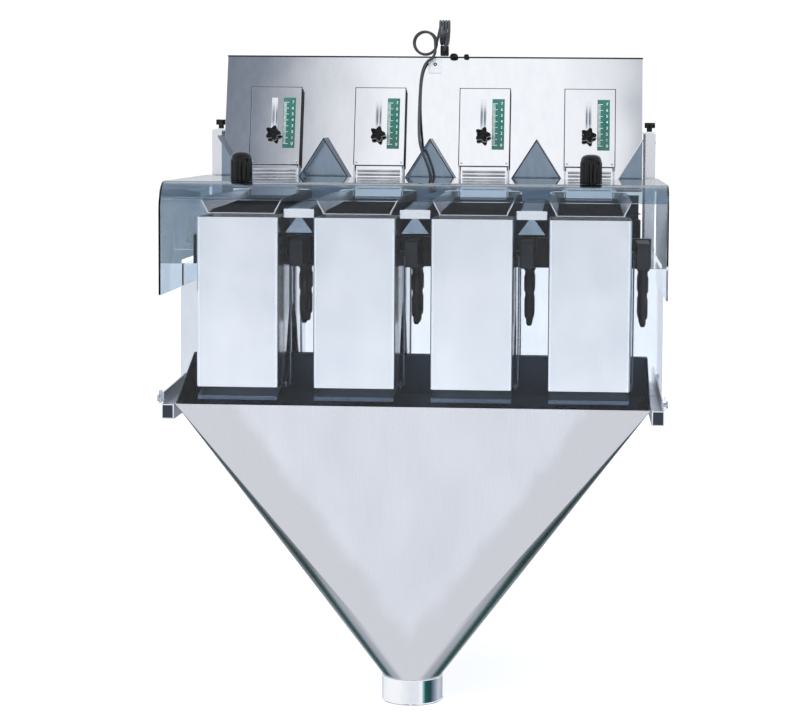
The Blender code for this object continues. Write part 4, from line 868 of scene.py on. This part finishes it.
# %% Ridge plates
def plate_from(shape, outline, near, far):
    """A flat plate across Y with the given (x, z) outline."""
    verts = [shape.verts.new((x, near, z)) for x, z in outline]
    face = shape.faces.new(verts)
    grown = bmesh.ops.extrude_face_region(shape, geom=[face])["geom"]
    bmesh.ops.translate(shape, vec=(0, far - near, 0), verts=only_verts(grown))
    bmesh.ops.recalc_face_normals(shape, faces=shape.faces)


FRONT_PLATE = ((0.4065, 0.4635), (0.459, 0.4635), (0.459, 0.549))
SLOPING_PLATE = ((0.4045, 0.4630), (0.4068, 0.4630), (0.4600, 0.5505), (0.4600, 0.5540))
STRIP_HALF, STRIP_LOW_Z, STRIP_HIGH_Z = 0.027, 0.3665, 0.4035
# These plates take the greyer ridge finish, which is painted shade.
for side, side_name in ((-1, "left"), (1, "right")):
    end = bmesh.new()
    plate_from(end, [(side * x, z) for x, z in FRONT_PLATE], 0.066, 0.068)
    plate_from(end, [(side * x, z) for x, z in SLOPING_PLATE], 0.020, 0.092)
    put(f"{side_name}_end_ridge", end, ridge_shade_steel, "frame")
for number in range(1, HEADS):
    x = head_x(number - 1) + HEAD_PITCH / 2
    closer = bmesh.new()
    plate_from(closer, [(x - STRIP_HALF, STRIP_LOW_Z), (x + STRIP_HALF, STRIP_LOW_Z), (x, STRIP_HIGH_Z)],
               -0.390, -0.388)
    put(f"hat_strip_end_{number}", closer, ridge_shade_steel, "frame")
print("ridge plates", 2 + HEADS - 1)

# %% [markdown]
# ## Door drives and the bay behind the pans
#
# A small upright gearmotor hangs under each drive nose and turns the crank above it. Its stepped can is one
# spun profile. An inner panel closes the bay behind the vibrators, with terminal boxes and glands on it; its
# dark colour is painted shade.

# %% Gearmotors and bay panel
MOTOR_X, MOTOR_Y, MOTOR_TOP_Z = 0.109, -0.252, 0.2925
BAY_HALF, BAY_FRONT_Y, BAY_BACK_Y = 0.458, 0.246, 0.249
BOX_FRONT_Y, BOX_LIMIT_X = 0.205, 0.440
BOXES = ((-0.016, 0.300, 0.352, 0.013), (0.012, 0.310, 0.372, 0.010))
for number in range(1, HEADS + 1):
    motor = bmesh.new()
    turned(motor, [(0, -0.118), (4 * MM, -0.118), (6.5 * MM, -0.112), (6.5 * MM, -0.104), (9.5 * MM, -0.100),
                   (10.2 * MM, -0.092), (10.2 * MM, -0.062), (8.6 * MM, -0.058), (8.6 * MM, -0.050),
                   (11 * MM, -0.046), (11 * MM, -0.018), (9.2 * MM, -0.014), (9.2 * MM, -0.006),
                   (12 * MM, -0.004), (12 * MM, 0), (0, 0)],
           Matrix.Translation((head_x(number - 1) + MOTOR_X, MOTOR_Y, MOTOR_TOP_Z)), 32)
    put(f"door_motor_{number}", motor, nylon, "frame")
panel = bmesh.new()
block(panel, (-BAY_HALF, BAY_FRONT_Y, MOTOR_TOP_Z), (BAY_HALF, BAY_BACK_Y, 0.440), 0.6 * MM)
put("bay_rear_panel", panel, bay_painted_shade, "frame")
boxes = bmesh.new()
for number in range(HEADS + 1):
    x = max(-BOX_LIMIT_X, min(BOX_LIMIT_X, (number - HEADS / 2) * HEAD_PITCH))
    for across, low_z, high_z, wide in BOXES:
        block(boxes, (x + across - wide, BOX_FRONT_Y, low_z), (x + across + wide, BAY_FRONT_Y, high_z),
              3 * MM, 3)
    turned(boxes, [(0, 0), (6 * MM, 0), (6 * MM, 8 * MM), (8 * MM, 9 * MM), (8 * MM, 16 * MM), (0, 16 * MM)],
           facing((x, BOX_FRONT_Y, 0.330), (0, -1, 0)), 20)
put("terminal_boxes", boxes, enamel, "frame")
print("door motors", HEADS, "terminal boxes", 2 * (HEADS + 1))

# %% [markdown]
# ## Rail ends
#
# The tube's cut edge is polished bright round each dark plastic plug. Four thin bars frame the plug, the
# upright ones a hair inside the level ones, so that no two faces lie in one plane.

# %% Rail ends
TUBE_INNER, TUBE_OUTER, TUBE_TALL, TUBE_WALL = 0.468, 0.493, 0.030, 0.0026
HAIR, UPRIGHT_LOW, UPRIGHT_HIGH = 0.0001, 0.002, 0.028
for side, side_name in ((-1, "left"), (1, "right")):
    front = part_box(f"{side_name}_rail_plug")[0].y
    inner, outer = sorted((side * TUBE_INNER, side * TUBE_OUTER))
    bars = ((inner, outer, 0.0, TUBE_WALL), (inner, outer, TUBE_TALL - TUBE_WALL, TUBE_TALL),
            (inner + HAIR, inner + TUBE_WALL, UPRIGHT_LOW, UPRIGHT_HIGH),
            (outer - TUBE_WALL, outer - HAIR, UPRIGHT_LOW, UPRIGHT_HIGH))
    ring = bmesh.new()
    for left, right, bottom, top in bars:
        block(ring, (left, front - 0.6 * MM, bottom), (right, front + 1 * MM, top), 0.4 * MM)
    put(f"{side_name}_rail_end", ring, bright, "frame")
print("rail ends", 2)

# %% [markdown]
# ## Rim clips
#
# Two small black clips sit on the hopper's rim beside the cord. Each is a low spun dome.

# %% Rim clips
CLIPS = ((0.0436, 9 * MM, 7.5 * MM), (0.0713, 6 * MM, 6 * MM))
CLIP_Y = 0.158
clips = bmesh.new()
for x, radius, tall in CLIPS:
    turned(clips, [(0, -2 * MM), (radius, -2 * MM), (radius, 1 * MM), (radius * 0.9, tall * 0.55),
                   (radius * 0.55, tall * 0.92), (0, tall)], Matrix.Translation((x, CLIP_Y, RIM_Z)), 24)
put("rim_clips", clips, nylon, "frame")
print("rim clips", len(CLIPS))

# %% [markdown]
# ## Outlet collar
#
# A short turned tube with a rolled lower edge. Its profile is drawn once and spun.

# %% Outlet collar
low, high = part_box("outlet_collar")
centre = (low + high) / 2
BORE, WALL = 56.5 * MM, 60.5 * MM
height = high.z - low.z
collar = bmesh.new()
turned(collar, [(BORE, 1 * MM), (57.2 * MM, 0.2 * MM), (59 * MM, 0), (61 * MM, 0.3 * MM),
                (61.5 * MM, 1.5 * MM), (61 * MM, 2.8 * MM), (WALL, 3.4 * MM), (WALL, height - 1 * MM),
                (WALL - 0.8 * MM, height), (57.3 * MM, height), (BORE, height - 0.8 * MM), (BORE, 1 * MM)],
       Matrix.Translation((centre.x, centre.y, low.z)), 96)
put("outlet_collar_turned", collar, mirror, "frame", ["outlet_collar"])
print("collar", round(height * 1000, 1), "mm tall")

# %% [markdown]
# ## Guard
#
# The guard keeps its solid shape: bent sheet, cheeks and ears in one. Its edges are flame-polished round,
# which makes them catch thin highlights. The front faces stay nearly clear, and every face that is seen
# along the sheet takes the deeper tint, a painted shade.

# %% Guard
guard = softened("guard_cover", guard_clear, 0.6 * MM)
# The deeper tint on faces seen along the sheet is painted shade.
line_inside(guard, guard_side_shade, lambda centre, normal: abs(normal.y) < 0.9)
print("guard", guard.name)

# %% [markdown]
# ## Screws
#
# Button-head screws hold the columns, the rear plate, the gate housings, the load cells and the chassis
# sides. A head and its socket are one spun profile, and copies are gathered into one piece for each place.

# %% Screws
def screw(shape, point, direction, radius=4 * MM):
    """One button-head screw with its socket."""
    height = radius * 0.6
    head = bmesh.new()
    turned(head, [(0, 0), (radius, 0), (radius, height * 0.35), (radius * 0.8, height * 0.8),
                  (radius * 0.55, height), (radius * 0.5, height), (radius * 0.5, height * 0.35),
                  (0, height * 0.35)], facing(point, direction), 18)
    mesh = bpy.data.meshes.new("screw")
    head.to_mesh(mesh)
    head.free()
    shape.from_mesh(mesh)
    bpy.data.meshes.remove(mesh)


def screws(name, places, body="frame", radius=4 * MM):
    """Several screws as one piece; places are (point, direction) pairs."""
    shape = bmesh.new()
    for point, direction in places:
        screw(shape, point, direction, radius)
    return put(name, shape, bright, body)


OUT = SLOPE.to_3x3() @ Vector((0, 0, 1))
SIDES = (-1, 1)
housing = [(SLOPE @ Vector((head_x(i) + x, -0.028, 0)), OUT) for i in range(HEADS) for x in (-0.049, 0.049)]
screws("housing_screws", housing, radius=2.6 * MM)
rear_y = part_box("rear_cover")[1].y
rear = [((x, rear_y, z), (0, 1, 0)) for x in (-0.48, -0.16, 0.16, 0.48) for z in (0.045, 0.277)]
screws("rear_cover_screws", rear, radius=3.5 * MM)
column = [((side * 0.489, y, z), (side, 0, 0))
          for side in SIDES for y in (0.140, 0.256) for z in (0.310, 0.545)]
screws("column_screws", column, radius=3.2 * MM)
beam = [((head_x(i) + side * 0.05, -0.222, z), (0, -1, 0))
        for i in range(HEADS) for side in SIDES for z in (0.302, 0.342)]
screws("load_cell_screws", beam, radius=3 * MM)
rails = [((side * 0.4965, y, 0.260), (side, 0, 0)) for side in SIDES for y in (-0.18, 0.10, 0.40)]
screws("chassis_side_screws", rails, radius=3.5 * MM)
print("screws", len(housing) + len(rear) + len(column) + len(beam) + len(rails))

# %% [markdown]
# ## Louvres on the rear cover
#
# The drive box breathes through pressed louvres: half-round hoods in rows on the rear plate.

# %% Louvres
LOUVRE_XS, LOUVRE_ROWS, LOUVRE_STEP, LOUVRE_HALF = (-0.32, 0.0, 0.32), 6, 0.022, 0.055
louvres = bmesh.new()
for x in LOUVRE_XS:
    for row in range(LOUVRE_ROWS):
        z = 0.110 + row * LOUVRE_STEP
        block(louvres, (x - LOUVRE_HALF, rear_y - 0.0005, z), (x + LOUVRE_HALF, rear_y + 0.0035, z + 0.009),
              2 * MM, 3)
put("rear_louvres", louvres, satin, "frame")
print("louvres", len(LOUVRE_XS) * LOUVRE_ROWS)

# %% [markdown]
# ## Studio floor
#
# The machine stands on a very pale floor that glows a little, so that it stays almost white up to the edge
# of the view. The polished steel doesn't mirror it: what the metal sees below comes from the world instead.

# %% Floor
scene = bpy.context.scene
scene.view_settings.view_transform = "Standard"
floor_shape = bmesh.new()
bmesh.ops.create_circle(floor_shape, cap_ends=True, segments=64, radius=30)
floor_mesh = bpy.data.meshes.new("floor")
floor_shape.to_mesh(floor_mesh)
floor_shape.free()
floor_mesh.transform(Matrix.Translation((0, 0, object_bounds()[0].z - 1 * MM)))
floor = bpy.data.objects.new("floor", floor_mesh)
scene.collection.objects.link(floor)
floor_paint, tree, shader = new_finish("pale_floor", "#f4f5f7", 0.0, 0.9)
shader.inputs["Emission Color"].default_value = linear("#ffffff")
shader.inputs["Emission Strength"].default_value = 0.35
floor_mesh.materials.append(floor_paint)
floor.visible_glossy = False
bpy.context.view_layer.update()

# %% [markdown]
# ## What the metal sees
#
# Metal shows what it faces, so most of its look is made here. The world is coloured by direction. Walls run
# round the horizon: white in front and at the left, a narrow teal edge at the right, and grey behind. The
# sky is white, with two grey flags that darken bands of the hopper. Below lies a pale grey ground with a
# teal patch at the back, which gives the buckets and bends their green-grey lines. The view itself stays
# plain white.

# %% Walls and sky
def set_stops(ramp, stops):
    """Give a colour ramp its stops, from (position, hex colour) pairs."""
    elements = ramp.color_ramp.elements
    elements[0].color = linear(stops[0][1])
    elements[1].color = linear(stops[-1][1])
    for position, colour in stops[1:-1]:
        elements.new(position).color = linear(colour)


WALLS = [(0.0, "#9aa3ad"), (0.06, "#c5cbd2"), (0.14, "#f4f6fa"), (0.34, "#ffffff"), (0.43, "#f1f3f7"),
         (0.50, "#e4e7ee"), (0.57, "#e9ecf2"), (0.61, "#ffffff"), (0.635, "#6fa8ac"), (0.655, "#1d5452"),
         (0.72, "#27414a"), (0.78, "#8796a6"), (0.84, "#c3c9d1"), (1.0, "#9aa3ad")]
FLAGS = [(0.0, "#000000"), (0.38, "#000000"), (0.455, "#ffffff"), (0.472, "#ffffff"), (0.483, "#000000"),
         (0.503, "#000000"), (0.508, "#ffffff"), (0.53, "#ffffff"), (0.59, "#000000"), (1.0, "#000000")]
FLAG_ROWS = [(0.0, "#000000"), (0.34, "#000000"), (0.44, "#ffffff"), (0.60, "#ffffff"), (0.72, "#000000"),
             (1.0, "#000000")]
world = bpy.data.worlds.new("studio")
scene.world = world
world.use_nodes = True
tree = world.node_tree
background = tree.nodes["Background"]
direction = add_node(tree, "TexCoord").outputs["Generated"]
split = add_node(tree, "SeparateXYZ", Vector=direction)
ahead = add_node(tree, "Math", {"operation": "MULTIPLY", "in1": -1.0}, in0=split.outputs["Y"])
bearing = add_node(tree, "Math", {"operation": "ARCTAN2"}, in0=split.outputs["X"], in1=ahead.outputs[0])
around = add_node(tree, "MapRange", {"From Min": -math.pi, "From Max": math.pi}, Value=bearing.outputs[0])
walls = add_node(tree, "ValToRGB", Fac=around.outputs["Result"])
flags = add_node(tree, "ValToRGB", Fac=around.outputs["Result"])
rows = add_node(tree, "ValToRGB", Fac=split.outputs["Z"])
for ramp, stops in ((walls, WALLS), (flags, FLAGS), (rows, FLAG_ROWS)):
    set_stops(ramp, stops)
flagged = add_node(tree, "Math", {"operation": "MULTIPLY"},
                   in0=flags.outputs["Color"], in1=rows.outputs["Color"])
sky = add_node(tree, "Mix", Factor=flagged.outputs[0], settings={
    "data_type": "RGBA", "in6": linear("#fbfcff"), "in7": linear("#727a88")})
height = add_node(tree, "MapRange", {"From Min": 0.0, "From Max": 0.06}, Value=split.outputs["Z"])
upper = add_node(tree, "Mix", {"data_type": "RGBA"},
                 Factor=height.outputs["Result"], in6=walls.outputs["Color"], in7=sky.outputs[2])
print("walls", len(WALLS), "stops, flags", len(FLAGS), "stops")

# %% Ground and its teal patch
below = add_node(tree, "MapRange", {"From Min": -0.27, "From Max": -0.33}, Value=split.outputs["Z"])
sweep = add_node(tree, "MapRange", {"From Min": -0.35, "From Max": -0.65}, Value=split.outputs["Y"])
beside = add_node(tree, "Math", {"operation": "ABSOLUTE"}, in0=split.outputs["X"])
PATCH_EDGES = ((split.outputs["Z"], -0.48, -0.56), (split.outputs["Z"], -0.84, -0.77),
               (split.outputs["Y"], 0.12, 0.25), (beside.outputs[0], 0.10, 0.20))
shares = [add_node(tree, "MapRange", {"From Min": start, "From Max": full},
                   Value=source).outputs["Result"] for source, start, full in PATCH_EDGES]
teal_share = shares[0]
for share in shares[1:]:
    both = add_node(tree, "Math", {"operation": "MULTIPLY"}, in0=teal_share, in1=share)
    teal_share = both.outputs[0]
carpet = add_node(tree, "Mix", Factor=teal_share, settings={
    "data_type": "RGBA", "in6": linear("#b4bac3"), "in7": linear("#0b4740")})
ground = add_node(tree, "Mix", {"data_type": "RGBA", "in7": linear("#eceef4")},
                  Factor=sweep.outputs["Result"], in6=carpet.outputs[2])
lower = add_node(tree, "Mix", {"data_type": "RGBA"},
                 Factor=below.outputs["Result"], in6=upper.outputs[2], in7=ground.outputs[2])
print("teal patch bounded by", len(PATCH_EDGES), "edges")

# %% [markdown]
# ## Plain white for the view and for the guard
#
# Rays that come from the eye, and rays that pass straight through the clear guard, see plain white, so the
# backdrop stays clean. Only reflections see the walls.

# %% Backdrop
path = add_node(tree, "LightPath")
unreflected = add_node(tree, "Math", {"operation": "LESS_THAN", "in1": 0.5}, in0=path.outputs["Glossy Depth"])
through = add_node(tree, "Math", {"operation": "MULTIPLY"},
                   in0=path.outputs["Is Transmission Ray"], in1=unreflected.outputs[0])
plain = add_node(tree, "Math", {"operation": "MAXIMUM"},
                 in0=path.outputs["Is Camera Ray"], in1=through.outputs[0])
final = add_node(tree, "Mix", {"data_type": "RGBA", "in7": linear("#ffffff")},
                 Factor=plain.outputs[0], in6=lower.outputs[2])
tree.links.new(final.outputs[2], background.inputs["Color"])
background.inputs["Strength"].default_value = 1.05
print("world nodes", len(tree.nodes))

# %% [markdown]
# ## Softboxes
#
# A large key light at the left and a smaller fill at the right model the matt pieces. Neither shows in the
# polished metal, where a hard white rectangle would look like a hole.

# %% Softboxes
def softbox(name, place, target, size, power):
    """A large soft area light."""
    light = bpy.data.lights.new(name, "AREA")
    light.shape = "RECTANGLE"
    light.size, light.size_y = size
    light.energy = power
    lamp = bpy.data.objects.new(name, light)
    lamp.matrix_world = facing(place, Vector(place) - Vector(target))
    lamp.visible_glossy = False
    scene.collection.objects.link(lamp)
    return lamp


TARGET = (0, 0, 0.2)
key = softbox("key", (-2.2, -3.0, 3.2), TARGET, (2.0, 2.0), 90)
fill = softbox("fill", (2.6, -2.6, 1.6), TARGET, (1.2, 2.0), 35)
print("softboxes", key.name, fill.name)
